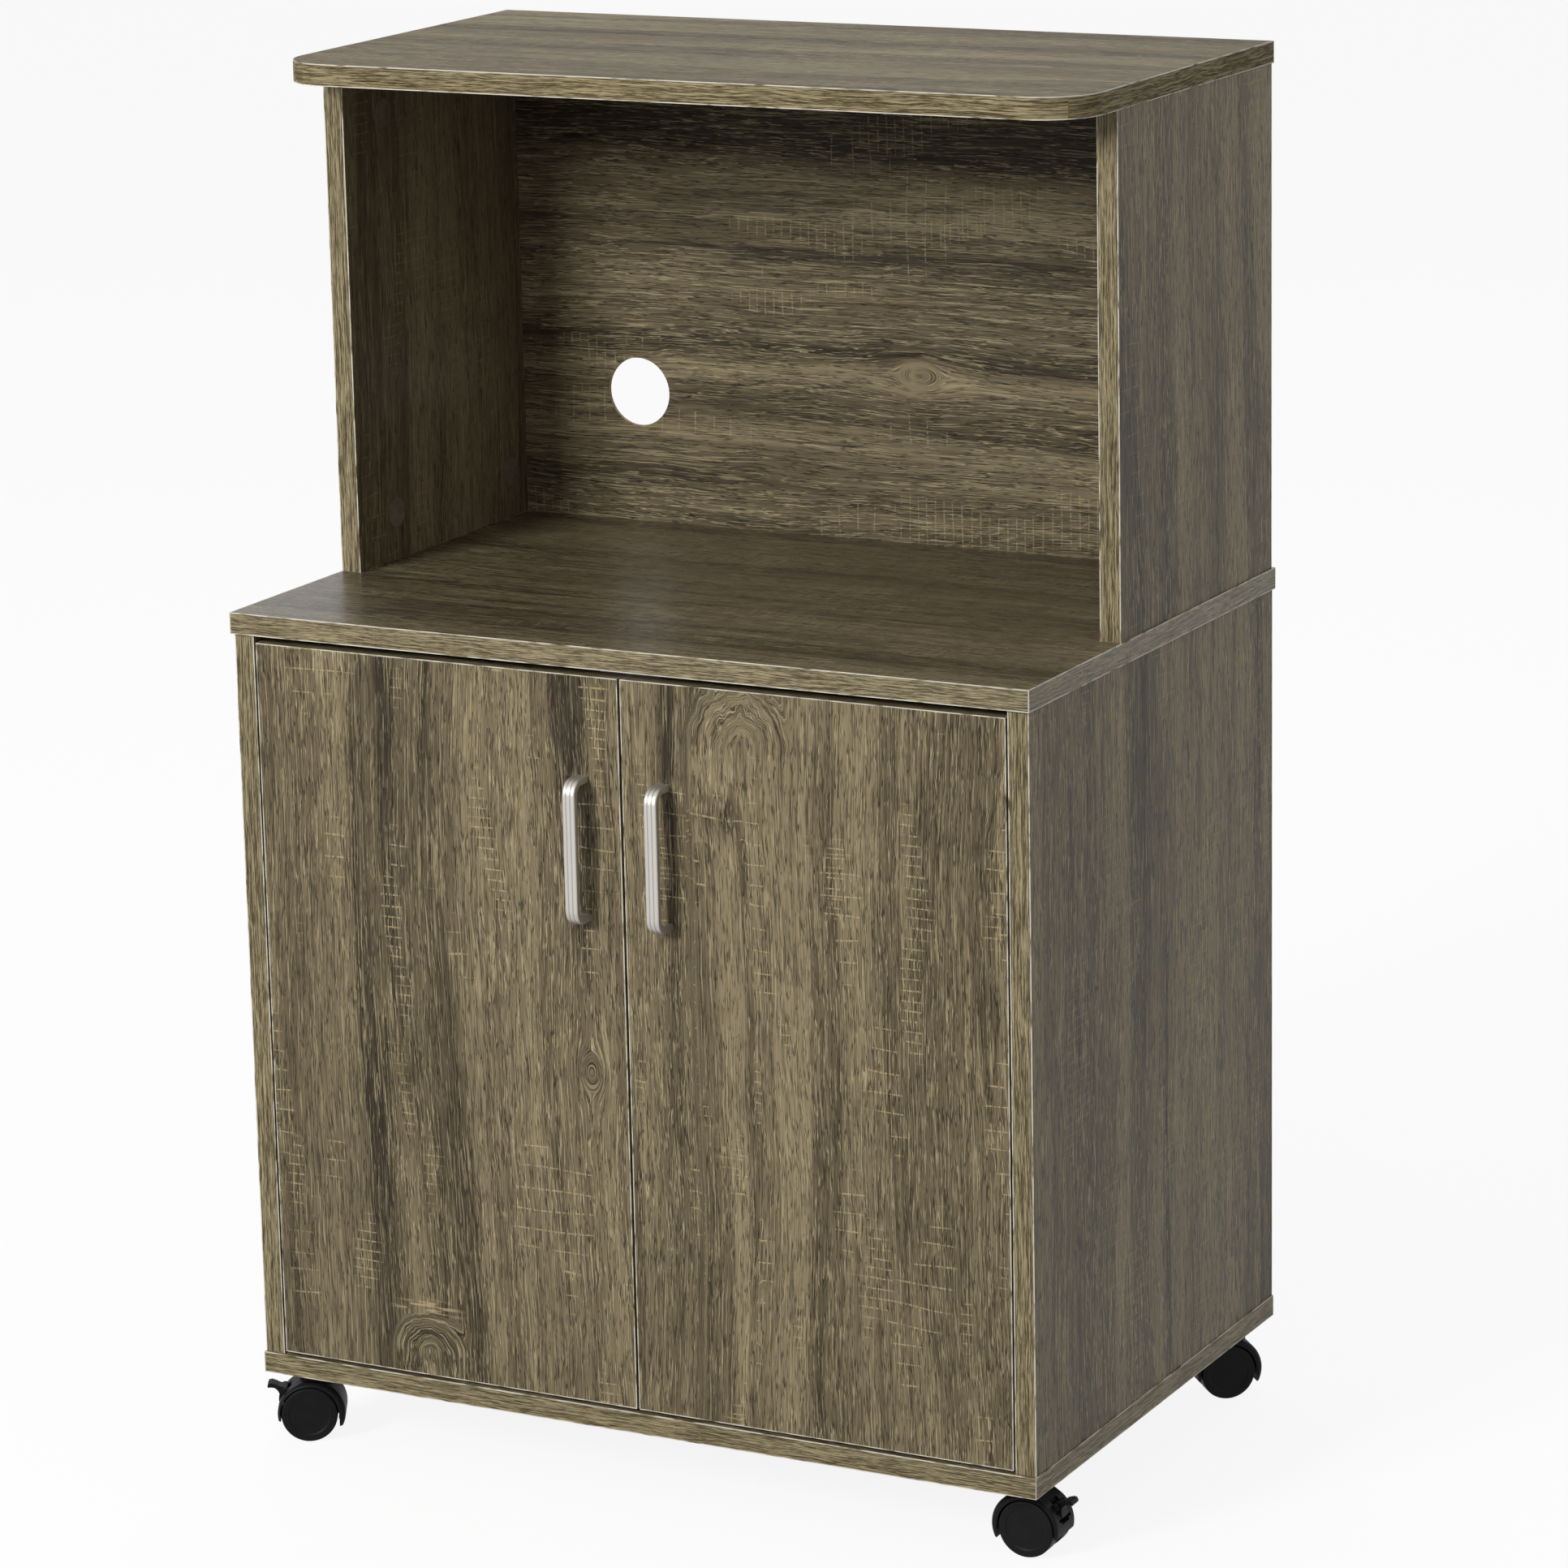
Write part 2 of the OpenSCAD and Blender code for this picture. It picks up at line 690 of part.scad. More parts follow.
module door(side) color(wood) difference() {
    board([min(side * meeting_edge, side * door_half), door_front, door_low],
          [max(side * meeting_edge, side * door_half), door_back, door_high]);
    at_hinges(side) {
        translate([cup_x, board_t - cup_depth, 0]) rotate([-90, 0, 0])
            cylinder(r = cup_r, h = cup_depth + over);
        at_flange_screws() screw_hole();
    }
    for (z = [-1, 1])
        translate([side * handle_x(side), door_front - over, handle_z + z * handle_pitch / 2])
            rotate([-90, 0, 0]) cylinder(r = handle_hole_r, h = board_t + 2 * over);
    at_strike_screw(side) screw_hole();
}

module left_door() door(-1);
module right_door() door(1);

// The handle's side view: x runs out from the door, towards the user
module bow(reach, half, r) {
    translate([-over, -half]) square([reach - r + over, 2 * half]);
    translate([0, -half + r]) square([reach, 2 * (half - r)]);
    for (s = [-1, 1]) translate([reach - r, s * (half - r)]) circle(r);
}

module bow_solid(w, reach, half, r) rotate([90, 0, -90])
    linear_extrude(w, center = true) bow(reach, half, r);

// A bow handle: one strap, bent at both ends, with two grooves along it
module handle(side) color(satin)
    translate([side * handle_x(side), door_front, handle_z]) difference() {
        half = handle_pitch / 2 + handle_leg_h / 2;
        bow_solid(handle_w, handle_reach, half, handle_bend_r);
        bow_solid(handle_w + 2 * over, handle_reach - handle_strap_t,
                  half - handle_leg_h, handle_inner_r);
        translate([0, over, 0]) cube([2 * handle_w, 2 * over, 3 * half], center = true);
        for (s = [-1, 1]) translate([s * handle_flute_x, 0, 0]) difference() {
            bow_solid(handle_flute_w, handle_reach + over, half + over, handle_bend_r + over);
            bow_solid(handle_flute_w + over, handle_reach - handle_flute_depth,
                      half - handle_flute_depth, handle_bend_r - handle_flute_depth);
        }
        for (z = [-1, 1]) translate([0, over, z * handle_pitch / 2]) rotate([90, 0, 0])
            cylinder(r = handle_screw_r + handle_bore_play, h = handle_bore_l + over);
    }

module left_handle() handle(-1);
module right_handle() handle(1);

module handle_screws(side) color(steel) for (z = [-1, 1])
    translate([side * handle_x(side), door_back, handle_z + z * handle_pitch / 2])
        rotate([-90, 0, 0]) difference() {
            union() {
                cylinder(r = handle_head_r, h = handle_head_h);
                translate([0, 0, bore_slack - board_t - handle_bore_l])
                    cylinder(r = handle_screw_r, h = board_t + handle_bore_l);
            }
            translate([0, 0, handle_head_h]) cross_recess();
        }

module left_handle_screws() handle_screws(-1);
module right_handle_screws() handle_screws(1);

// ---- hinges ----

module at_flange_screws() for (z = [-1, 1])
    translate([cup_x, board_t + flange_t, z * flange_screw_pitch / 2])
        rotate([-90, 0, 0]) children();

module hinge_cups(side) color(steel) at_hinges(side) {
    translate([cup_x, board_t, 0]) rotate([90, 0, 0]) {
        difference() {
            cylinder(r = cup_r - cup_play, h = cup_depth - cup_play);
            translate([0, 0, -over])
                cylinder(r = cup_r - cup_play - cup_wall, h = cup_depth - cup_wall + over);
        }
        translate([0, 0, -flange_t]) linear_extrude(flange_t) difference() {
            union() {
                circle(flange_ring_r);
                round_rect([flange_w, flange_l], flange_corner_r);
            }
            circle(cup_r - cup_play - cup_wall);
            for (z = [-1, 1]) translate([0, z * flange_screw_pitch / 2])
                circle(wood_screw_head_r + screw_play);
        }
    }
    translate([cup_pin.x, cup_pin.y, 0]) cylinder(d = hinge_pin_d, h = cup_pin_l, center = true);
}

module left_hinge_cups() hinge_cups(-1);
module right_hinge_cups() hinge_cups(1);

// A goose-neck bar: an eye on the ground pin, a hook on the cup's pin, which is
// open towards the ground pin
module link_outline() {
    to_ground = ground_pin - cup_pin;
    difference() {
        union() {
            translate(ground_pin) circle(link_eye_r);
            bar(ground_pin, link_elbow, link_t);
            bar(link_elbow, link_knee, link_t);
            bar(link_knee, cup_pin, link_t);
            translate(cup_pin) circle(link_hook_r);
        }
        translate(ground_pin) circle(hinge_pin_d / 2 + hinge_pin_play);
        translate(cup_pin) {
            circle(hinge_pin_d / 2 + link_hook_play);
            rotate(atan2(to_ground.y, to_ground.x)) translate([link_hook_lip, -link_mouth])
                square([link_hook_r, 2 * link_mouth]);
        }
    }
}

module hinge_links(side) color(steel) at_hinges(side)
    linear_extrude(link_w, center = true) link_outline();

module left_hinge_links() hinge_links(-1);
module right_hinge_links() hinge_links(1);

// The arm's side view: a round nose, a high front part and a low rear part
module arm_outline() {
    translate(ground_pin) circle(arm_nose_r);
    polygon([
        ground_pin - [arm_nose_r, 0], [arm_base, ridge_start], [arm_base, arm_end],
        [arm_low, arm_end], [arm_low, arm_crank_y + arm_crank_l], [arm_high, arm_crank_y],
        [arm_high, arm_back_start], ground_pin + [arm_nose_r, 0]
    ]);
}

// A folded steel channel, open towards the side board, with its ground pin
module hinge_arms() color(steel) for (side = [-1, 1]) at_hinges(side) {
    inner = arm_w - 2 * hinge_steel_t;
    difference() {
        union() {
            for (s = [-1, 1]) translate([0, 0, s * (inner + hinge_steel_t) / 2])
                linear_extrude(hinge_steel_t, center = true) arm_outline();
            linear_extrude(inner + 2 * eps, center = true) difference() {
                arm_outline();
                translate([-hinge_steel_t, 0]) arm_outline();
                square([arm_high + over, arm_back_start]);
            }
        }
        for (y = adjust_y) translate([0, y, 0]) rotate([0, 90, 0])
            cylinder(r = adjust_r + screw_play, h = arm_high + over);
    }
    translate([ground_pin.x, ground_pin.y, 0])
        cylinder(d = hinge_pin_d, h = ground_pin_l, center = true);
}

// A plate with two wings on the side board, and a ridge that the arm sits over
module hinge_plates() color(steel) for (side = [-1, 1]) at_hinges(side) difference() {
    union() {
        translate([0, wing_y, 0]) rotate([90, 0, 90]) linear_extrude(wing_t)
            round_rect([wing_w, wing_l], flange_corner_r);
        translate([0, ridge_start, -ridge_w / 2]) cube([ridge_h, arm_end - ridge_start, ridge_w]);
    }
    for (y = adjust_y) translate([adjust_low - bore_slack, y, 0]) rotate([0, 90, 0])
        cylinder(r = adjust_r + screw_play, h = ridge_h);
    for (z = [-1, 1]) translate([0, wing_y, z * wing_screw_pitch / 2]) rotate([0, 90, 0])
        translate([0, 0, -over]) cylinder(r = wood_screw_head_r + screw_play, h = wing_t + 2 * over);
}

module hinge_plate_screws() color(zinc) for (side = [-1, 1]) at_hinges(side)
    for (z = [-1, 1]) translate([wing_t, wing_y, z * wing_screw_pitch / 2])
        rotate([0, 90, 0]) difference() {
            wood_screw(wood_screw_l);
            cross_recess();
        }

module hinge_adjust_screws() color(zinc) for (side = [-1, 1]) at_hinges(side)
    for (y = adjust_y) translate([arm_low, y, 0]) rotate([0, 90, 0]) difference() {
        union() {
            cylinder(r = adjust_head_r, h = adjust_head_h);
            translate([0, 0, adjust_low - arm_low])
                cylinder(r = adjust_r, h = arm_low - adjust_low + eps);
        }
        translate([0, 0, adjust_head_h]) cross_recess();
    }

// The small wood screws of one door: two in each cup's flange, one in the strike
module door_screws(side) color(zinc) {
    at_hinges(side) at_flange_screws() difference() {
        wood_screw(wood_screw_l);
        cross_recess();
    }
    at_strike_screw(side) difference() {
        wood_screw(wood_screw_l);
        cross_recess();
    }
}

module left_door_screws() door_screws(-1);
module right_door_screws() door_screws(1);

// ---- magnetic catch ----

module at_strike_screw(side) translate([side * magnet_x, door_back + strike_t, strike_z])
    rotate([-90, 0, 0]) children();

module at_catch_screws() for (s = [-1, 1])
    translate([s * (catch_w + catch_ear_w) / 2, catch_front + catch_d / 2,
               counter_under - catch_ear_t])
        rotate([180, 0, 0]) children();

module door_catch() color(white) difference() {
    union() {
        translate([0, catch_front + catch_d / 2, catch_under])
            linear_extrude(counter_under - catch_under)
                round_rect([catch_w, catch_d], catch_corner_r);
        translate([0, catch_front + catch_d / 2, counter_under - catch_ear_t])
            linear_extrude(catch_ear_t)
                round_rect([catch_w + 2 * catch_ear_w, catch_ear_d], 2 * catch_corner_r);
    }
    for (s = [-1, 1]) translate([s * magnet_x - magnet_w / 2, catch_front - over,
                                 strike_z - magnet_h / 2])
        cube([magnet_w, magnet_depth + over, magnet_h]);
    at_catch_screws()
        cylinder(r = wood_screw_head_r + screw_play, h = 3 * catch_ear_t, center = true);
}

module catch_magnets() color(black) for (s = [-1, 1], k = [-1, 1])
    translate([s * magnet_x, catch_front + (magnet_depth - magnet_out) / 2,
               strike_z + k * (magnet_h - magnet_plate_t) / 2])
        cube([magnet_w, magnet_depth + magnet_out, magnet_plate_t], center = true);

module catch_screws() color(zinc) at_catch_screws() difference() {
    wood_screw(wood_screw_l);
    cross_recess();
}

module strike(side) color(steel)
    translate([side * magnet_x, door_back, strike_z]) rotate([-90, 0, 0])
        linear_extrude(strike_t) difference() {
            round_rect([strike_w, strike_h], strike_corner_r);
            circle(wood_screw_head_r + screw_play);
        }

module left_strike() strike(-1);
module right_strike() strike(1);

// ---- casters ----

module at_plate_holes() for (x = [-1, 1], y = [-1, 1])
    translate([x * plate_hole_pitch / 2, y * plate_hole_pitch / 2, 0]) children();

module caster_plates() color(zinc) for (i = [0:3]) at_caster(i)
    translate([0, 0, caster_h - plate_t]) linear_extrude(plate_t) difference() {
        round_rect([plate_side, plate_side], plate_corner_r);
        at_plate_holes() circle(plate_hole_r);
        circle(stem_r);
    }

module caster_stems() color(steel) for (i = [0:3]) at_caster(i)
    translate([0, 0, stem_low]) cylinder(r = stem_r, h = caster_h - stem_low);

// Pan-head screws that hold the mounting plates
module caster_screws() color(zinc) for (i = [0:3]) at_caster(i) at_plate_holes()
    translate([0, 0, caster_h - plate_t]) rotate([180, 0, 0]) difference() {
        union() {
            cylinder(r = wood_screw_head_r, h = pan_head_h);
            translate([0, 0, pan_head_in - wood_screw_l])
                cylinder(r = wood_screw_r, h = wood_screw_l);
        }
        translate([0, 0, pan_head_h]) cross_recess();
    }

// A short round body on the Y axis with rounded shoulders
module dome(r, half, shoulder) rotate([90, 0, 0]) rotate_extrude() {
    translate([0, -half]) square([r - shoulder, 2 * half]);
    translate([0, -half + shoulder]) square([r, 2 * (half - shoulder)]);
    for (s = [-1, 1]) translate([r - shoulder, s * (half - shoulder)]) circle(shoulder, $fn = 24);
}

// The moulded body that covers the wheels from above: a web between the wheels,
// a closed skirt in front and a short one at the back
module hood(braked) color(black) difference() {
    union() {
        difference() {
            at_wheel() {
                translate([hood_shift.x, 0, hood_shift.y])
                    dome(hood_front_r, hood_half, hood_shoulder_r);
                dome(hood_rear_r, hood_half, hood_shoulder_r);
            }
            for (s = [-1, 1]) at_wheel() translate([0, s * (web_w / 2 + hood_half), 0])
                rotate([90, 0, 0]) cylinder(r = hood_well_r, h = 2 * hood_half, center = true);
            skirt_cuts();
        }
        at_wheel() rotate([90, 0, 0]) cylinder(r = web_r, h = web_w, center = true);
        translate([0, 0, neck_low]) cylinder(r = neck_r, h = neck_top - neck_low);
        if (braked) at_brake() for (s = [-1, 1])
            translate([0, s * (brake_w / 2 + brake_gap + brake_lug_t / 2), 0])
                rotate([90, 0, 0]) cylinder(r = brake_lug_r, h = brake_lug_t, center = true);
    }
    at_wheel() for (s = [-1, 1]) translate([0, s * (web_w / 2 + hood_half), 0])
        rotate([90, 0, 0]) cylinder(r = hood_well_r, h = 2 * hood_half, center = true);
    at_wheel() rotate([90, 0, 0]) cylinder(r = axle_r, h = 2 * web_w, center = true);
    translate([0, 0, stem_low - bore_slack]) cylinder(r = stem_r + stem_play, h = caster_h);
    if (braked) {
        brake_slot();
        at_brake() rotate([90, 0, 0])
            cylinder(r = brake_pin_r + axle_play, h = brake_pin_l + 1, center = true);
    }
}

// Trims the skirt: straight under the axle at the back, a pointed lip in front
module skirt_cuts() {
    far = 2 * wheel_d;
    translate([-caster_trail - far, -far / 2, -far]) cube([far, far, far + hood_rear_low]);
    translate([-caster_trail - eps, -far / 2, -far]) cube([far, far, far + hood_tip_low]);
    translate([-caster_trail - eps, -far / 2, -far])
        cube([hood_tip_x, far, far + hood_tip_start]);
}

module at_brake() translate([-caster_trail + brake_pivot.x, 0, wheel_r + brake_pivot.y])
    children();

module brake_slot() at_wheel() rotate([90, 0, 0]) {
    linear_extrude(brake_w + 2 * brake_gap, center = true) polygon(lever_slot);
    linear_extrude(brake_bar_l + 2 * brake_gap, center = true) polygon(bar_slot);
}

module brake() color(black) {
    at_wheel() rotate([90, 0, 0]) {
        linear_extrude(brake_w, center = true) polygon(brake_side);
        linear_extrude(brake_bar_l, center = true)
            bar(brake_bar[0], brake_bar[1], brake_bar_t);
        for (p = brake_ribs) translate([p.x, p.y, 0])
            cylinder(r = brake_rib_r, h = brake_w, center = true, $fn = 24);
    }
    at_brake() rotate([90, 0, 0]) cylinder(r = brake_pin_r, h = brake_pin_l, center = true);
}

module front_left_hood() turned_caster(0) hood(true);
module front_right_hood() turned_caster(1) hood(true);
module back_left_hood() turned_caster(2) hood(false);
module back_right_hood() turned_caster(3) hood(false);

module front_left_brake() turned_caster(0) brake();
module front_right_brake() turned_caster(1) brake();

module axle() color(steel) at_wheel() rotate([90, 0, 0])
    cylinder(r = axle_r, h = 2 * axle_half, center = true);

module front_left_axle() turned_caster(0) axle();
module front_right_axle() turned_caster(1) axle();
module back_left_axle() turned_caster(2) axle();
module back_right_axle() turned_caster(3) axle();

// A hollow wheel: closed, slightly dished face outside, tread, and a blind hub
module wheel(s) color(black) at_wheel() mirror([0, s > 0 ? 0 : 1, 0])
    rotate([-90, 0, 0]) rotate_extrude($fn = 96) polygon([
        [0, wheel_out - wheel_dish], [wheel_bead_r - 1, wheel_out - wheel_dish],
        [wheel_bead_r, wheel_out], [wheel_r - wheel_edge_r, wheel_out],
        [wheel_r - wheel_lip, wheel_out - wheel_lip], [wheel_r, wheel_out - wheel_edge_r],
        [wheel_r, wheel_in + wheel_lip], [wheel_r - wheel_lip, wheel_in],
        [wheel_r - wheel_rim_t, wheel_in],
        [wheel_r - wheel_rim_t, wheel_out - wheel_disc_t],
        [wheel_hub_r, wheel_out - wheel_disc_t], [wheel_hub_r, wheel_in],
        [axle_r + axle_play, wheel_in],
        [axle_r + axle_play, wheel_out - wheel_disc_t],
        [0, wheel_out - wheel_disc_t]
    ]);

module front_left_outer_wheel() turned_caster(0) wheel(-1);
module front_left_inner_wheel() turned_caster(0) wheel(1);
module front_right_outer_wheel() turned_caster(1) wheel(1);
module front_right_inner_wheel() turned_caster(1) wheel(-1);
module back_left_outer_wheel() turned_caster(2) wheel(-1);
module back_left_inner_wheel() turned_caster(2) wheel(1);
module back_right_outer_wheel() turned_caster(3) wheel(-1);
module back_right_inner_wheel() turned_caster(3) wheel(1);

top_panel();
upper_side_left();
upper_side_right();
upper_back_panel();
counter_panel();
lower_side_left();
lower_side_right();
bottom_panel();
lower_back_panel();
shelf();
shelf_pins();
cam_nuts();
cam_bolts();
cam_covers();
dowels();
left_door();
right_door();
left_handle();
right_handle();
left_handle_screws();
right_handle_screws();
hinge_plates();
hinge_plate_screws();
hinge_arms();
hinge_adjust_screws();
left_hinge_cups();
right_hinge_cups();
left_hinge_links();
right_hinge_links();
left_door_screws();
right_door_screws();
door_catch();
catch_magnets();
catch_screws();
left_strike();
right_strike();
caster_plates();
caster_stems();
caster_screws();
front_left_hood();
front_right_hood();
back_left_hood();
back_right_hood();
front_left_axle();
front_right_axle();
back_left_axle();
back_right_axle();
front_left_outer_wheel();
front_left_inner_wheel();
front_right_outer_wheel();
front_right_inner_wheel();
back_left_outer_wheel();
back_left_inner_wheel();
back_right_outer_wheel();
back_right_inner_wheel();
front_left_brake();
front_right_brake();
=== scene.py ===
import math

import bmesh
import bpy
import numpy as np
from mathutils import Matrix, Vector


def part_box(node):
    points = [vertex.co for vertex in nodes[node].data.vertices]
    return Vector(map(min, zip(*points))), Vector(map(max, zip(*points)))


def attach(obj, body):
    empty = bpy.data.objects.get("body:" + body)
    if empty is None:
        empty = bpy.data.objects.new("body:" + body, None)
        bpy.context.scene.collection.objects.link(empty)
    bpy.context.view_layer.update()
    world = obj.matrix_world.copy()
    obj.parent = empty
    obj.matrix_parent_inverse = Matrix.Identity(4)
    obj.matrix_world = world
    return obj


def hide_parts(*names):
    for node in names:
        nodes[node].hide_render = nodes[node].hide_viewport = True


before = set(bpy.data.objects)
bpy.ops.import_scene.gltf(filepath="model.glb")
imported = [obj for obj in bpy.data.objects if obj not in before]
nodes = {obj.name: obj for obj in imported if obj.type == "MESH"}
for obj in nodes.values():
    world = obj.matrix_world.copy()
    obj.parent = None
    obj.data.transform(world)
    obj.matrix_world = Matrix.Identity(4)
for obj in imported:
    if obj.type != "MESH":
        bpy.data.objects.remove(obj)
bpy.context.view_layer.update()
print("frame loaded:", len(nodes), "nodes")

perMetre = 1000.0  # sizes in the dictionaries are in mm, the scene is in metres
white = (1.0, 1.0, 1.0, 1.0)

cameraSetup = {  # the photograph's own camera
    "azimuth": 0.4853,  # radians, from straight in front towards the cart's right
    "elevation": 0.2473,
    "roll": -0.021,
    "place": (1.8343, -3.4360, 1.4494),  # in metres
    "lens": 132.67,
    "sensor": 36.0,
    "near": 0.05,
    "far": 60.0,
}


# The view direction comes from azimuth and elevation; right and up are turned
# about it by the roll, and the three are the columns of the camera's matrix.
def makeCamera(v):
    azimuth, elevation, roll = v["azimuth"], v["elevation"], v["roll"]
    forward = Vector((-math.sin(azimuth) * math.cos(elevation),
                      math.cos(azimuth) * math.cos(elevation), -math.sin(elevation)))
    level = Vector((math.cos(azimuth), math.sin(azimuth), 0.0))
    upright = level.cross(forward)
    right = level * math.cos(roll) + upright * math.sin(roll)
    up = upright * math.cos(roll) - level * math.sin(roll)
    data = bpy.data.cameras.new("photoCamera")
    data.lens, data.sensor_width = v["lens"], v["sensor"]
    data.clip_start, data.clip_end = v["near"], v["far"]
    camera = bpy.data.objects.new("photoCamera", data)
    bpy.context.scene.collection.objects.link(camera)
    columns = Matrix((right, up, -forward)).transposed().to_4x4()
    camera.matrix_world = Matrix.Translation(v["place"]) @ columns
    bpy.context.scene.camera = camera


makeCamera(cameraSetup)


# A socket that takes Python's arithmetic: each operator adds one Math node.
class Value:
    def __init__(self, graph, socket):
        self.graph = graph
        self.socket = socket

    def math(self, operation, *operands):
        return self.graph.node("ShaderNodeMath", {"operation": operation},
                               dict(enumerate(operands)))

    def __add__(self, other):
        return self.math("ADD", self, other)

    def __radd__(self, other):
        return self.math("ADD", other, self)

    def __sub__(self, other):
        return self.math("SUBTRACT", self, other)

    def __rsub__(self, other):
        return self.math("SUBTRACT", other, self)

    def __mul__(self, other):
        return self.math("MULTIPLY", self, other)

    def __rmul__(self, other):
        return self.math("MULTIPLY", other, self)

    def __truediv__(self, other):
        return self.math("DIVIDE", self, other)

    def __rtruediv__(self, other):
        return self.math("DIVIDE", other, self)

    def __pow__(self, power):
        return self.math("POWER", self, power)

    def __abs__(self):
        return self.math("ABSOLUTE", self)

    def fraction(self):
        return self.math("FRACT", self)

    def atMost(self, other):
        return self.math("MINIMUM", self, other)

    def atLeast(self, other):
        return self.math("MAXIMUM", self, other)

    # 0 at start and before it, 1 from end on, smooth between; start may be the larger
    def ramp(self, start, end):
        return self.graph.node(
            "ShaderNodeMapRange", {"interpolation_type": "SMOOTHSTEP"},
            {"Value": self, "From Min": start, "From Max": end})

    # another output of the node that this one comes from
    def beside(self, output):
        return Value(self.graph, self.socket.node.outputs[output])


# The node tree of a material or of the world. node() takes a type, its settings and
# the values or links of its inputs, and gives back one of its outputs.
class Graph:
    def __init__(self, owner):
        owner.use_nodes = True
        self.owner = owner
        self.tree = owner.node_tree
        self.tree.nodes.clear()

    def node(self, kind, settings=None, inputs=None, output=0):
        made = self.tree.nodes.new(kind)
        for key, value in (settings or {}).items():
            setattr(made, key, value)
        for key, value in (inputs or {}).items():
            if isinstance(value, Value):
                self.tree.links.new(value.socket, made.inputs[key])
            else:
                made.inputs[key].default_value = value
        return Value(self, made.outputs[output]) if len(made.outputs) else None

    # the point's place on the piece, as x, y and z in mm
    def millimetres(self):
        place = self.node("ShaderNodeTexCoord", output="Object")
        scaled = self.node("ShaderNodeVectorMath", {"operation": "SCALE"},
                           {0: place, "Scale": perMetre})
        x = self.node("ShaderNodeSeparateXYZ", {}, {0: scaled})
        return x, x.beside("Y"), x.beside("Z")

    def noise(self, x, y, z, detail=2.0, roughness=0.5):
        place = self.node("ShaderNodeCombineXYZ", {}, {0: x, 1: y, 2: z})
        return self.node("ShaderNodeTexNoise", {},
                         {"Vector": place, "Scale": 1.0, "Detail": detail,
                          "Roughness": roughness})

    def mix(self, factor, first, second):
        return self.node("ShaderNodeMix", {"data_type": "RGBA"},
                         {0: factor, 6: first, 7: second}, output=2)

    def pick(self, factor, first, second):
        return self.node("ShaderNodeMix", {"data_type": "FLOAT"},
                         {0: factor, 2: first, 3: second})

    def bump(self, height, distance, strength):
        return self.node("ShaderNodeBump", {},
                         {"Height": height, "Distance": distance, "Strength": strength})

    # 1 where the camera sees the surface, also in metal or through glass, else 0
    def seenRays(self):
        camera = self.node("ShaderNodeLightPath", output="Is Camera Ray")
        mirrored = camera.beside("Is Glossy Ray")
        return camera.atLeast(mirrored).atLeast(camera.beside("Is Transmission Ray"))

    def finish(self, inputs):
        shader = self.node("ShaderNodeBsdfPrincipled", {}, inputs)
        self.node("ShaderNodeOutputMaterial", {}, {"Surface": shader})
        return self.owner


def newMaterial(name):
    return Graph(bpy.data.materials.new(name))


# One material takes the place of all that a CAD node has.
def paint(name, material):
    mesh = nodes[name].data
    mesh.materials.clear()
    mesh.materials.append(material)


# Noise whose cycles in 1 mm across the board and along it, whose place in the third
# direction, whose detail and whose roughness are the layer's own.
def layerNoise(graph, across, along, start, layer):
    return graph.noise(across * layer["across"], along * layer["along"],
                       start + layer["start"], layer.get("detail", 2.0),
                       layer.get("rough", 0.5))


# Oak laminate, as layers of noise and colours to put on it. In all the dictionaries of
# the boards a pair is the start and the end of a ramp.
oak = {
    "dark": (0.036, 0.027, 0.017, 1.0),
    "middle": (0.118, 0.091, 0.053, 1.0),
    "light": (0.235, 0.190, 0.112, 1.0),
    "pore": (0.014, 0.010, 0.006, 1.0),
    "glint": (0.420, 0.350, 0.205, 1.0),
    "sawMark": (0.470, 0.385, 0.215, 1.0),
    "toneMiddle": 0.58,
    "darkToMiddle": (0.02, 0.52),
    "middleToLight": (0.48, 1.02),
    "wander": (  # shifts the grain sideways by up to half of "reach", in mm
        dict(across=0.0035, along=0.0016, start=0.0, detail=1.0, reach=34.0),
        dict(across=0.016, along=0.007, start=7.3, detail=1.0, reach=7.0),
        dict(across=0.07, along=0.045, start=3.1, reach=1.7),
    ),
    "layers": {  # what the tone is made of; a layer adds (noise - middle) * weight
        "broad": dict(across=0.028, along=0.0011, start=11.0, detail=1.0, rough=0.45,
                      middle=0.5, weight=1.15),
        "zone": dict(across=0.024, along=0.0009, start=13.0, detail=1.0,
                     edges=(0.45, 0.48), middle=0.5, weight=0.30),
        "flame": dict(across=0.075, along=0.0022, start=15.0, detail=1.0,
                      edges=(0.62, 0.57), middle=1.0, weight=0.20),
        "streak": dict(across=0.22, along=0.0026, start=17.0, rough=0.6,
                       middle=0.5, weight=0.36),
        "fibre": dict(across=1.50, along=0.013, start=29.0, detail=3.0, rough=0.75,
                      middle=0.5, weight=0.90),
        "hair": dict(across=2.70, along=0.050, start=31.0, detail=1.0,
                     middle=0.5, weight=0.65),
    },
    "bandEdge": (1.25, 0.75),  # in half widths of a band
    "veins": {  # pitch and length in mm, and how strong the dark lines and the painted highlights on the lips are
        "long": dict(pitch=2.1, length=100.0, start=80.0, dark=0.50, lip=0.50,
                     darkPatch=(0.26, 0.52)),
        "short": dict(pitch=0.95, length=26.0, start=90.0, dark=0.80, lip=0.85,
                      lipPatch=(0.75, 0.40)),
    },
    "patch": dict(across=0.018, along=0.0035, start=41.0),  # where veins are strong
    "relief": dict(fibre=0.4, lip=0.3, longDark=-0.8, shortDark=-0.5),
}

vein = {
    "detail": 2.0,
    "rough": 0.55,
    "darkEdges": (0.050, 0.012),
    "lipPlace": 0.085,  # in the noise's own measure, beside its middle value
    "lipEdges": (0.045, 0.010),
    "breakAcross": 0.30,
    "breaksInLength": 1.5,
    "breakStart": 5.0,
    "breakDetail": 1.0,
    "darkBreaks": (0.38, 0.52),
    "lipBreaks": (0.32, 0.58),
}
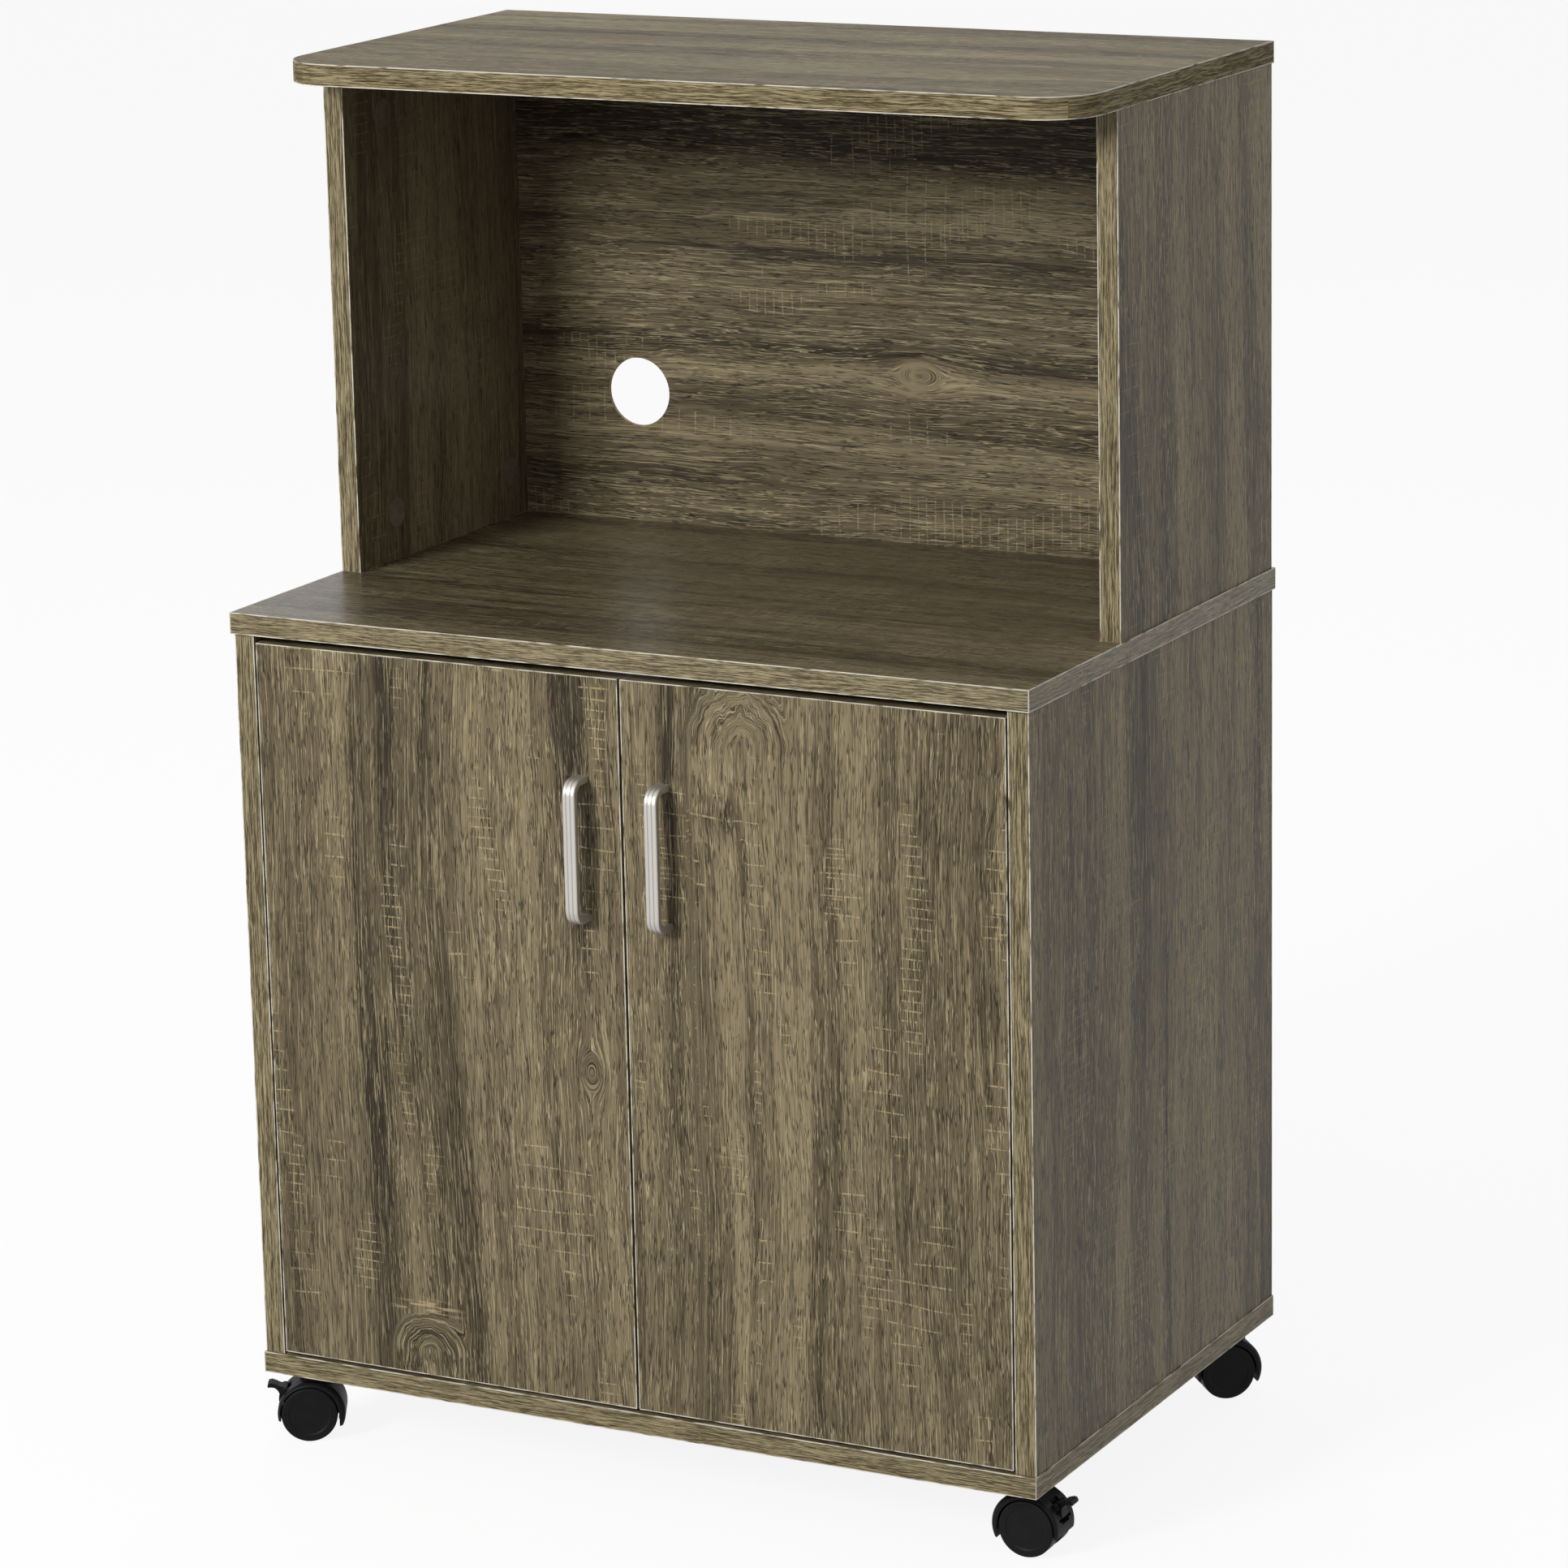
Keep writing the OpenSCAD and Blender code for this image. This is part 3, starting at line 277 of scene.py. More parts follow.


# A vein is where stretched noise crosses its middle value: a thin dark line, with a
# painted highlight on a lip along one side of it. Another noise breaks both into lengths.
def veins(graph, line, along, pitch, length, start):
    field = graph.noise(line * (1.0 / pitch), along * (1.0 / length), start,
                        vein["detail"], vein["rough"]) - 0.5
    broken = graph.noise(line * vein["breakAcross"],
                         along * (vein["breaksInLength"] / length),
                         start + vein["breakStart"], vein["breakDetail"])
    dark = abs(field).ramp(*vein["darkEdges"]) * broken.ramp(*vein["darkBreaks"])
    lip = abs(field - vein["lipPlace"]).ramp(*vein["lipEdges"]) \
        * broken.ramp(*vein["lipBreaks"])
    return dark, lip


knot = {
    "flatten": 0.55,  # height over width, as the grain stretches it
    "rim": (1.02, 0.98),  # in radii
    "ringPitch": 1.6,  # mm of grain in 1 mm of the knot
}


# Lines pass a knot as water passes a post: the place across is scaled by one less the
# square of the knot's radius over the distance, and inside it is the distance itself.
def roundKnot(graph, line, along, middle, height, radius):
    out = line - middle
    up = (along - height) * knot["flatten"]
    far = (out * out + up * up) ** 0.5
    past = out * (1.0 - (radius / far.atLeast(radius)) ** 2.0)
    inside = far.ramp(radius * knot["rim"][0], radius * knot["rim"][1])
    return middle + graph.pick(inside, past, (far - radius) * knot["ringPitch"])


dome = {  # a figure in the grain whose lines bend over a tip
    "ragged": dict(across=0.07, along=0.05, start=71.0, detail=3.0, reach=0.6),
    "rim": (1.12, 0.92),  # in half widths of the dome
    "heart": (0.95, 0.25),  # the darker middle, in half widths and then in lengths
    "heartFoot": (-1.2, 0.1),
    "heartShade": 0.16,
    "shift": 2.3,  # how far the noise moves on below the dome's left half
    "shiftUp": (0.2, -2.5),
    "shiftOut": (0.2, -0.3),
    "strokes": dict(across=0.035, along=0.42, start=75.0, rough=0.6),
    "strokeEdges": (0.50, 0.60),
    "strokeHeight": 1.15,  # of the pale strokes above the tip, in lengths of the dome
    "strokeFlatten": 9.0,
    "strokeReach": (1.15, 0.55),
    "strokeShare": 0.55,
}


# The distance from a dome's foot is the root of its place across, in half widths, and
# its height above the foot, in lengths, both squared; below the foot only the first
# counts. Inside, that distance takes the place of the grain's line, which bends it over
# the tip. Returns the line, the shift of the noise, the dark heart and the strokes.
def overDome(graph, line, across, along, start, middle, height, width, length):
    ragged = layerNoise(graph, across, along, start, dome["ragged"]) - 0.5
    up = (along - height) * (1.0 / length)
    out = (line - middle) * (1.0 / width)
    above = (up + ragged * dome["ragged"]["reach"]).atLeast(0.0)
    far = (out * out + above ** 2.0) ** 0.5
    inside = far.ramp(*dome["rim"])
    heart = far.ramp(*dome["heart"]) * up.ramp(*dome["heartFoot"])
    bent = graph.pick(inside, line, middle + far * width)
    shift = up.ramp(*dome["shiftUp"]) * out.ramp(*dome["shiftOut"]) * inside * dome["shift"]
    strokes = layerNoise(graph, across, along, start, dome["strokes"])
    apart = (out * out + (up - dome["strokeHeight"]) ** 2.0 * dome["strokeFlatten"]) ** 0.5
    pale = strokes.ramp(*dome["strokeEdges"]) * apart.ramp(*dome["strokeReach"])
    return bent, shift, heart, pale


sawing = {
    "uneven": dict(across=0.010, along=0.035, start=1.0, detail=1.0, reach=0.8),
    "broken": dict(across=0.75, along=0.12, start=2.0, rough=0.7),
    "brokenEdges": (0.42, 0.54),
    "sets": (  # step of the rungs in mm, and the noise whose peaks are their patches
        dict(step=14.5, across=0.026, along=0.0075, start=3.0, detail=1.0,
             edges=(0.60, 0.65)),
        dict(step=7.0, across=0.026, along=0.0075, start=33.0, detail=1.0,
             edges=(0.62, 0.67)),
    ),
    "rungHalf": (0.70, 0.25),  # mm
    "start": 43.0,
    "markShare": 0.62,
    "gridShare": 0.50,
}


# Saw marks are rungs at even steps along the board, a little uneven and broken, inside
# patches; a second set with half the step fills other patches.
def sawMarks(graph, along, across, start):
    uneven = layerNoise(graph, across, along, start, sawing["uneven"])
    uneven = uneven * sawing["uneven"]["reach"]
    broken = layerNoise(graph, across, along, start, sawing["broken"])
    broken = broken.ramp(*sawing["brokenEdges"])
    fields, rungs = [], []
    for v in sawing["sets"]:
        field = layerNoise(graph, across, along, start, v).ramp(*v["edges"])
        near = abs((along * (1.0 / v["step"]) + uneven).fraction() - 0.5)
        wide, narrow = (half / v["step"] for half in sawing["rungHalf"])
        fields.append(field)
        rungs.append(field * near.ramp(wide, narrow) * broken)
    return fields[0].atLeast(fields[1]), rungs[0].atLeast(rungs[1])


# The grain's line is the place across the board plus slow noise, so that streaks
# wander; knots and domes bend it. Tone is the sum of noise on that line at several
# widths, with the board's own bands added, and it runs from dark over middle to light.
# Painted highlights on the veins' lips, dark pores and saw marks are laid over it.
def grain(graph, along, across, v):
    contrast, saw, start = v["contrast"], v["saw"], v["seed"]
    line = across
    for wave in oak["wander"]:
        line = line + (layerNoise(graph, across, along, start, wave) - 0.5) * wave["reach"]
    for place in v["knots"]:
        line = roundKnot(graph, line, along, *place)
    heart = strokes = None
    for place in v["domes"]:
        line, shift, heart, strokes = overDome(graph, line, across, along, start, *place)
        start = start + shift
    tone = oak["toneMiddle"] + v["lift"]
    levels = {}
    for name, layer in oak["layers"].items():
        level = layerNoise(graph, line, along, start, layer)
        if "edges" in layer:
            level = level.ramp(*layer["edges"])
        levels[name] = level
        tone = tone + (level - layer["middle"]) * (layer["weight"] * contrast)
    if heart is not None:
        tone = tone - heart * dome["heartShade"]
    for middle, half, amount in v["bands"]:
        away = abs(line - middle) * (1.0 / half)
        tone = tone + away.ramp(*oak["bandEdge"]) * amount

    long, short = oak["veins"]["long"], oak["veins"]["short"]
    patch = layerNoise(graph, across, along, start, oak["patch"])
    longDark, longHighlightLip = veins(graph, line, along, long["pitch"], long["length"],
                              start + long["start"])
    shortDark, shortHighlightLip = veins(graph, line, along, short["pitch"], short["length"],
                                start + short["start"])
    fields, rungs = sawMarks(graph, along, across, start + sawing["start"])
    low = graph.mix(tone.ramp(*oak["darkToMiddle"]), oak["dark"], oak["middle"])
    colour = graph.mix(tone.ramp(*oak["middleToLight"]), low, oak["light"])
    # The glint colour on the veins' lips, and on the lips in the saw-mark patches, is painted
    # highlight.
    for factor, over in (
            (longHighlightLip * (long["lip"] * contrast), "glint"),
            (shortHighlightLip * patch.ramp(*short["lipPatch"]) * (short["lip"] * contrast), "glint"),
            (longDark * patch.ramp(*long["darkPatch"]) * (long["dark"] * contrast), "pore"),
            (shortDark * (short["dark"] * contrast), "pore"),
            (fields * shortHighlightLip * (saw * sawing["gridShare"]), "glint")):
        colour = graph.mix(factor, colour, oak[over])
    if strokes is not None:
        colour = graph.mix(strokes * dome["strokeShare"], colour, oak["sawMark"])
    colour = graph.mix(rungs * (saw * sawing["markShare"]), colour, oak["sawMark"])
    relief = oak["relief"]
    height = levels["fibre"] * relief["fibre"] + longHighlightLip * relief["lip"] \
        + longDark * relief["longDark"] + shortDark * relief["shortDark"]
    return colour, height


edgeBand = {  # printed along the band and through the board's thickness
    "dark": (0.060, 0.046, 0.022, 1.0),
    "light": (0.330, 0.274, 0.160, 1.0),
    "darkToLight": (0.18, 0.82),
    "outline": (0.45, 0.25),  # mm from the outline: no band at the first, all at the last
    "endSoft": (-0.5, 0.5),
    "wave": dict(along=0.030, deep=0.10, start=5.0, detail=1.0, reach=2.2),
    "coarse": dict(along=0.024, deep=1.00, start=53.0, detail=3.0, rough=0.7, weight=2.2),
    "fine": dict(along=0.085, deep=3.1, start=59.0, detail=2.0, rough=0.7, weight=2.6),
    "toneMiddle": 0.45,
    "relief": 0.6,
}

arrisHighlight = {  # painted highlight: the pale line where two printed faces meet, as light catches that edge
    "colour": (0.700, 0.660, 0.560, 1.0),
    "reach": (0.95, 0.35),  # mm from the edge
    "broken": dict(along=0.06, deep=0.02, start=61.0, detail=2.0),
    "brokenEdges": (0.30, 0.55),
    "share": 0.85,
}

chipboard = {
    "dark": (0.300, 0.200, 0.110, 1.0),
    "light": (0.620, 0.480, 0.310, 1.0),
    "darkToLight": (0.35, 0.65),
    "size": 0.9,  # cycles in 1 mm
    "detail": 3.0,
    "rough": 0.7,
    "fromOutline": (0.45, 0.65),  # mm; a cut shows where a point is deeper than both
    "fromFace": (0.20, 0.40),
    "relief": 4.0,
    "dull": 0.35,
}

board = {  # what a board has where it names nothing else
    "domes": (),
    "knots": (),
    "bands": (),
    "contrast": 1.0,
    "saw": 1.0,  # strength of the saw marks
    "lift": 0.0,  # added to the tone
    "freeEnds": True,  # False where both ends stand against other boards
    "cornerRadius": 0.0,  # mm, of the two front corners
    "specular": 0.12,
    "roughness": 0.38,
    "grainDull": 0.12,
    "bumpDistance": 0.00012,  # m
    "bumpStrength": 0.8,
}


# How far a point lies inside the board's outline is the signed distance to a rectangle
# with round corners, and how deep it lies is the distance to the nearer broad face.
# On the outline there is the edge band, near both there is a painted highlight along the
# arris, and where a point is far from both a cut shows the chipboard.
def boardMaterial(name, grainAxis, flatAxis, v):
    graph = newMaterial("oak_" + name)
    low, high = (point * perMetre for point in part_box(name))
    place = graph.millimetres()
    acrossAxis = 3 - grainAxis - flatAxis  # the three add up to 0 + 1 + 2
    along, across, deep = place[grainAxis], place[acrossAxis], place[flatAxis]

    def halfAndMiddle(axis):
        return (high[axis] - low[axis]) / 2, (high[axis] + low[axis]) / 2

    halfLong, middleLong = halfAndMiddle(grainAxis)
    halfWide, middleWide = halfAndMiddle(acrossAxis)
    halfThick, middleThick = halfAndMiddle(flatAxis)
    fromEnd = halfLong - abs(along - middleLong)
    fromSide = halfWide - abs(across - middleWide)
    depth = halfThick - abs(deep - middleThick)
    inset = fromEnd.atMost(fromSide)
    radius = v["cornerRadius"]
    if radius:
        pastEnd = (radius - fromEnd).atLeast(0.0)
        pastSide = (radius - fromSide).atLeast(0.0)
        rounded = radius - (pastEnd ** 2.0 + pastSide ** 2.0) ** 0.5
        front = (across - middleWide).ramp(1.0, -1.0)  # the rear corners stay square
        inset = graph.pick(front, inset, inset.atMost(rounded.atLeast(0.0)))
    fromEdge = inset if v["freeEnds"] else fromSide
    toArris = (fromEdge ** 2.0 + depth ** 2.0) ** 0.5
    if v["freeEnds"]:
        toArris = toArris.atMost((fromEnd ** 2.0 + fromSide ** 2.0) ** 0.5)

    face, faceHeight = grain(graph, along, across, v)

    def bandNoise(layer, onBand, through):
        return graph.noise(onBand * layer["along"], through * layer["deep"],
                           v["seed"] + layer["start"], layer["detail"],
                           layer.get("rough", 0.5))

    bandLong = graph.pick((fromSide - fromEnd).ramp(*edgeBand["endSoft"]), along, across)
    wave = bandNoise(edgeBand["wave"], bandLong, deep) - 0.5
    bandLine = deep + wave * edgeBand["wave"]["reach"]
    bandTone = edgeBand["toneMiddle"]
    for layer in (edgeBand["coarse"], edgeBand["fine"]):
        level = bandNoise(layer, bandLong, bandLine) - 0.5
        bandTone = bandTone + level * layer["weight"]
    band = graph.mix(bandTone.ramp(*edgeBand["darkToLight"]), edgeBand["dark"],
                     edgeBand["light"])

    chips = graph.noise(*(axis * chipboard["size"] for axis in place),
                        chipboard["detail"], chipboard["rough"])
    cut = graph.mix(chips.ramp(*chipboard["darkToLight"]), chipboard["dark"],
                    chipboard["light"])

    broken = bandNoise(arrisHighlight["broken"], bandLong, deep)
    onArrisHighlight = toArris.ramp(*arrisHighlight["reach"]) * broken.ramp(*arrisHighlight["brokenEdges"])
    onBand = inset.ramp(*edgeBand["outline"])
    inCut = inset.ramp(*chipboard["fromOutline"]) * depth.ramp(*chipboard["fromFace"])
    colour = graph.mix(onBand, face, band)
    # painted highlight along the arris
    colour = graph.mix(onArrisHighlight * arrisHighlight["share"], colour, arrisHighlight["colour"])
    colour = graph.mix(inCut, colour, cut)
    height = graph.pick(onBand, faceHeight, bandTone * edgeBand["relief"])
    height = graph.pick(inCut, height, chips * chipboard["relief"])
    paint(name, graph.finish({
        "Base Color": colour,
        "Roughness": v["roughness"] + faceHeight * v["grainDull"]
        + inCut * chipboard["dull"],
        "Normal": graph.bump(height, v["bumpDistance"], v["bumpStrength"]),
        "Specular IOR Level": v["specular"],
    }))


# Each board: the axis of its grain, the axis of its thickness, and its own print. A
# dome is (across, foot, half width, length), a knot (across, along, radius) and a band
# (across, half width, change of tone), all in mm on the board.
xAxis, yAxis, zAxis = 0, 1, 2
boards = {
    "top_panel": (xAxis, zAxis, dict(
        seed=3.7, saw=0.6, cornerRadius=40.0, specular=0.012)),
    # The counter's lift of -0.15 is painted shade: the counter lies in the shade under the
    # upper part.
    "counter_panel": (xAxis, zAxis, dict(
        seed=9.1, contrast=0.85, saw=0.6, lift=-0.15, specular=0.17, roughness=0.27)),
    "bottom_panel": (xAxis, zAxis, dict(seed=14.2, contrast=0.9)),
    "shelf": (xAxis, zAxis, dict(seed=21.5, contrast=0.8, freeEnds=False)),
    "upper_side_left": (zAxis, xAxis, dict(
        seed=27.3, contrast=0.8, saw=0.5, lift=0.10, freeEnds=False)),
    "upper_side_right": (zAxis, xAxis, dict(
        seed=33.8, contrast=1.2, saw=0.4, freeEnds=False)),
    "lower_side_left": (zAxis, xAxis, dict(
        seed=41.6, contrast=0.8, saw=0.5, freeEnds=False)),
    "lower_side_right": (zAxis, xAxis, dict(
        seed=48.4, contrast=1.2, saw=0.4, freeEnds=False)),
    "left_door": (zAxis, yAxis, dict(
        seed=55.2, lift=-0.05,
        domes=((-165.0, 88.0, 28.0, 26.0),),
        knots=((-24.0, 307.0, 8.0),),
        bands=((-230.0, 22.0, 0.05), (-188.0, 10.0, -0.15), (-125.0, 30.0, -0.05),
               (-84.0, 11.0, -0.13), (-58.0, 14.0, 0.08), (-20.0, 16.0, -0.08)))),
    "right_door": (zAxis, yAxis, dict(
        seed=62.9, lift=0.03,
        domes=((88.0, 545.0, 38.0, 46.0),),
        bands=((20.0, 14.0, -0.03), (58.0, 13.0, -0.13), (100.0, 24.0, 0.06),
               (160.0, 8.0, -0.15), (184.0, 14.0, 0.09), (235.0, 26.0, 0.03)))),
    # The band at 930 mm darkens the top of the back panel under the top board, partly as
    # darker wood and partly as painted shade; the lift of -0.04 is painted shade inside the
    # cabinet.
    "upper_back_panel": (xAxis, yAxis, dict(
        seed=70.4, saw=0.6, lift=-0.04,
        knots=((724.0, 39.0, 9.0),),
        bands=((930.0, 58.0, -0.80), (738.0, 11.0, -0.20), (602.0, 24.0, 0.09)))),
    "lower_back_panel": (xAxis, yAxis, dict(seed=77.7)),
}
for boardName, (grainAxis, flatAxis, own) in boards.items():
    boardMaterial(boardName, grainAxis, flatAxis, {**board, **own})
print("boards painted")


handle = {
    "width": 9.5,
    "pitch": 96.0,
    "legHeight": 5.0,
    "strap": 4.6,
    "bendRadius": 11.0,
    "innerRadius": 6.5,
    "bow": 0.30,  # how far the front stands out in its middle
    "groovePlace": 1.6,
    "grooveHalf": 0.55,
    "grooveDepth": 0.55,
    "edgeRound": 1.15,
    "innerRound": 0.7,
    "roundSteps": 7,
    "frontSteps": 57,
    "legSteps": 5,
    "bendSteps": 15,
    "strapSteps": 8,
    "sharpAngle": 35.0,
}


# The section runs over the front, a shallow parabola less two cosine grooves, round the
# front corners by a quarter circle each and round the inner ones by a smaller one. Its
# points are (place across, share of the thickness from the inner to the outer line).
def handleSection(v):
    half, radius, inner, thick = v["width"] / 2, v["edgeRound"], v["innerRound"], v["strap"]
    turn = np.linspace(0.0, math.pi / 2, v["roundSteps"])
    x = np.linspace(-(half - radius), half - radius, v["frontSteps"])
    near = np.clip(np.abs(np.abs(x) - v["groovePlace"]) / v["grooveHalf"], 0, 1)
    groove = v["grooveDepth"] * (1 + np.cos(math.pi * near)) / 2
    front = thick - v["bow"] * (x / half) ** 2 - groove
    top = thick - v["bow"] * ((half - radius) / half) ** 2
    corner = np.stack([half - radius + radius * np.cos(turn),
                       top - radius + radius * np.sin(turn)], 1)
    foot = np.stack([half - inner + inner * np.cos(turn),
                     inner - inner * np.sin(turn)], 1)
    mirror = np.array([-1.0, 1.0])
    points = np.concatenate([(corner * mirror)[:-1], np.stack([x, front], 1),
                             corner[::-1][1:], foot, (foot * mirror)[::-1]])
    return points / np.array([1.0, thick])


# Quads join each ring of points to the next, and one face closes either end.
def tubePiece(name, vertices, rings, points, sharpAngle):
    ring, point = np.meshgrid(np.arange(rings - 1), np.arange(points), indexing="ij")
    following = (point + 1) % points
    faces = np.stack([ring * points + point, ring * points + following,
                      (ring + 1) * points + following, (ring + 1) * points + point],
                     2).reshape(-1, 4).tolist()
    last = (rings - 1) * points
    faces.append(np.arange(points)[::-1].tolist())
    faces.append(np.arange(last, last + points).tolist())
    mesh = bpy.data.meshes.new(name)
    mesh.from_pydata(vertices.tolist(), [], faces)
    work = bmesh.new()  # turns every face outwards
    work.from_mesh(mesh)
    bmesh.ops.recalc_face_normals(work, faces=work.faces)
    work.to_mesh(mesh)
    work.free()
    mesh.shade_smooth()
    mesh.set_sharp_from_angle(angle=math.radians(sharpAngle))
    piece = bpy.data.objects.new(name, mesh)
    bpy.context.scene.collection.objects.link(piece)
    return piece


# The path runs up the lower leg, round a quarter circle, along the strap and back the
# same way; at each step the inner and the outer line give the two ends of the section.
def makeHandle(name, node, body, v):
    low, high = (np.array(point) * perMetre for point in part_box(node))
    middleX, middleZ = (low[0] + high[0]) / 2, (low[2] + high[2]) / 2
    outerHalf = v["pitch"] / 2 + v["legHeight"] / 2
    reach = high[1] - low[1]
    turn = np.linspace(0.0, math.pi / 2, v["bendSteps"])

    def outline(half, far, radius):
        legOut = np.linspace(0.0, far - radius, v["legSteps"] + 1)[:-1]
        leg = np.stack([legOut, np.full(v["legSteps"], half)], 1)
        bend = np.stack([far - radius + radius * np.sin(turn),
                         half - radius + radius * np.cos(turn)], 1)
        strapZ = np.linspace(half - radius, 0.0, v["strapSteps"] + 1)[1:]
        strap = np.stack([np.full(v["strapSteps"], far), strapZ], 1)
        upper = np.concatenate([leg, bend, strap])
        lower = upper[:-1][::-1] * np.array([1.0, -1.0])
        return np.concatenate([upper, lower])

    outer = outline(outerHalf, reach, v["bendRadius"])
    inner = outline(outerHalf - v["legHeight"], reach - v["strap"], v["innerRadius"])
    section = handleSection(v)
    line = inner[:, None, :] + (outer - inner)[:, None, :] * section[None, :, 1:2]
    rings, points = line.shape[:2]
    x = np.broadcast_to(section[None, :, 0], (rings, points)) + middleX
    y = high[1] - line[:, :, 0]
    z = line[:, :, 1] + middleZ
    vertices = np.stack([x, y, z], 2).reshape(-1, 3) / perMetre
    piece = tubePiece(name, vertices, rings, points, v["sharpAngle"])
    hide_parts(node)
    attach(piece, body)
    return piece


nickel = {
    "colour": (0.51, 0.49, 0.455, 1.0),
    "other": (0.47, 0.45, 0.42, 1.0),
    "otherShare": 0.25,
    "cloudAcross": 0.08,
    "cloudAlong": 0.05,
    "speckle": 3.0,  # cycles in 1 mm, as the clouds' are
    "speckleDetail": 2.0,
    "speckleRough": 0.6,
    "metallic": 0.85,
    "roughness": 0.40,
    "speckleDull": 0.08,
    "bumpDistance": 0.00004,
    "bumpStrength": 0.5,
}


# Wide clouds turn the colour a little, and a fine speckle dulls and dents it.
def handleMaterial(v):
    graph = newMaterial("satin_nickel")
    x, y, z = graph.millimetres()
    speckle = graph.noise(x * v["speckle"], y * v["speckle"], z * v["speckle"],
                          v["speckleDetail"], v["speckleRough"])
    cloud = graph.noise(x * v["cloudAcross"], y * v["cloudAcross"], z * v["cloudAlong"])
    return graph.finish({
        "Base Color": graph.mix(cloud * v["otherShare"], v["colour"], v["other"]),
        "Metallic": v["metallic"],
        "Roughness": v["roughness"] + speckle * v["speckleDull"],
        "Normal": graph.bump(speckle, v["bumpDistance"], v["bumpStrength"]),
    })


satinNickel = handleMaterial(nickel)
for side in ("left", "right"):
    bow = makeHandle(side + "_bow_handle", side + "_handle", side + "_door", handle)
    bow.data.materials.append(satinNickel)
print("handles made")


# Metals and plastics of the fittings, by the name of their slot in the CAD. The grain is
# in cycles in 1 mm, and the depth of its dents in metres.
fittings = {
    "black_nylon": dict(colour=(0.0045, 0.0045, 0.005, 1.0), other=(0.012, 0.0115, 0.012, 1.0),
                        roughness=0.40, grain=2.6, depth=0.00006, specular=0.11),
    "white_plastic": dict(colour=(0.78, 0.77, 0.74, 1.0), other=(0.68, 0.67, 0.63, 1.0),
                          roughness=0.38, grain=2.0, depth=0.00004),
    "plated_steel": dict(colour=(0.60, 0.61, 0.62, 1.0), other=(0.44, 0.44, 0.45, 1.0),
                         metallic=1.0, roughness=0.22, grain=1.6, depth=0.00003),
    "zinc_casting": dict(colour=(0.46, 0.47, 0.49, 1.0), other=(0.34, 0.34, 0.35, 1.0),
                         metallic=0.9, roughness=0.40, grain=1.2, depth=0.00006),
    "magnet_steel": dict(colour=(0.22, 0.22, 0.23, 1.0), other=(0.13, 0.12, 0.12, 1.0),
                         metallic=0.9, roughness=0.38, grain=1.4, depth=0.00005),
    "beech": dict(colour=(0.66, 0.46, 0.28, 1.0), other=(0.50, 0.33, 0.19, 1.0),
                  roughness=0.60, grain=1.0, depth=0.00010),
    "cover_film": dict(colour=(0.175, 0.150, 0.108, 1.0), other=(0.105, 0.088, 0.060, 1.0),
                       roughness=0.45, grain=0.6, depth=0.00008, otherShare=0.8),
}
fitting = {  # what a fitting has where it names nothing else
    "metallic": 0.0,
    "specular": 0.5,
    "otherShare": 0.3,
    "grainShare": 0.2,
    "cloud": 0.11,
    "cloudEdges": (0.3, 0.7),
    "cloudDull": 0.12,
    "grainDull": 0.08,
    "bumpStrength": 0.6,
    "detail": 3.0,
    "rough": 0.6,
}


# The share of the other colour is the cloud's ramp and some of the fine grain. Both dull
# the surface, and the grain dents it.
def fittingMaterial(name, v):
    graph = newMaterial(name)
    place = graph.millimetres()
    fine, cloud = (graph.noise(*(axis * v[size] for axis in place), v["detail"], v["rough"])
                   for size in ("grain", "cloud"))
    share = cloud.ramp(*v["cloudEdges"]) * v["otherShare"] + fine * v["grainShare"]
    return graph.finish({
        "Base Color": graph.mix(share, v["colour"], v["other"]),
        "Metallic": v["metallic"],
        "Roughness": v["roughness"] + cloud * v["cloudDull"] + fine * v["grainDull"],
        "Specular IOR Level": v["specular"],
        "Normal": graph.bump(fine, v["depth"], v["bumpStrength"]),
    })


finishes = {name: fittingMaterial(name, {**fitting, **own})
            for name, own in fittings.items()}
for nodeName, part in nodes.items():
    if nodeName not in boards:
        slots = part.data.materials
        had = slots[0].name.split(".")[0] if slots else ""
        paint(nodeName, finishes.get(had, finishes["plated_steel"]))
print("fittings painted")


studio = {  # places and sizes in metres, power in watts
    "worldLight": 0.49,
    "background": 1.0,
    "aim": (0.0, 0.0, 0.5),
    "key": dict(place=(-1.3, -4.2, 2.55), size=1.2, power=188.0),
    "fill": dict(place=(3.6, -1.6, 1.9), size=2.2, power=6.0),
    "rim": dict(place=(-1.2, 2.4, 3.4), size=1.6, power=26.0),
}

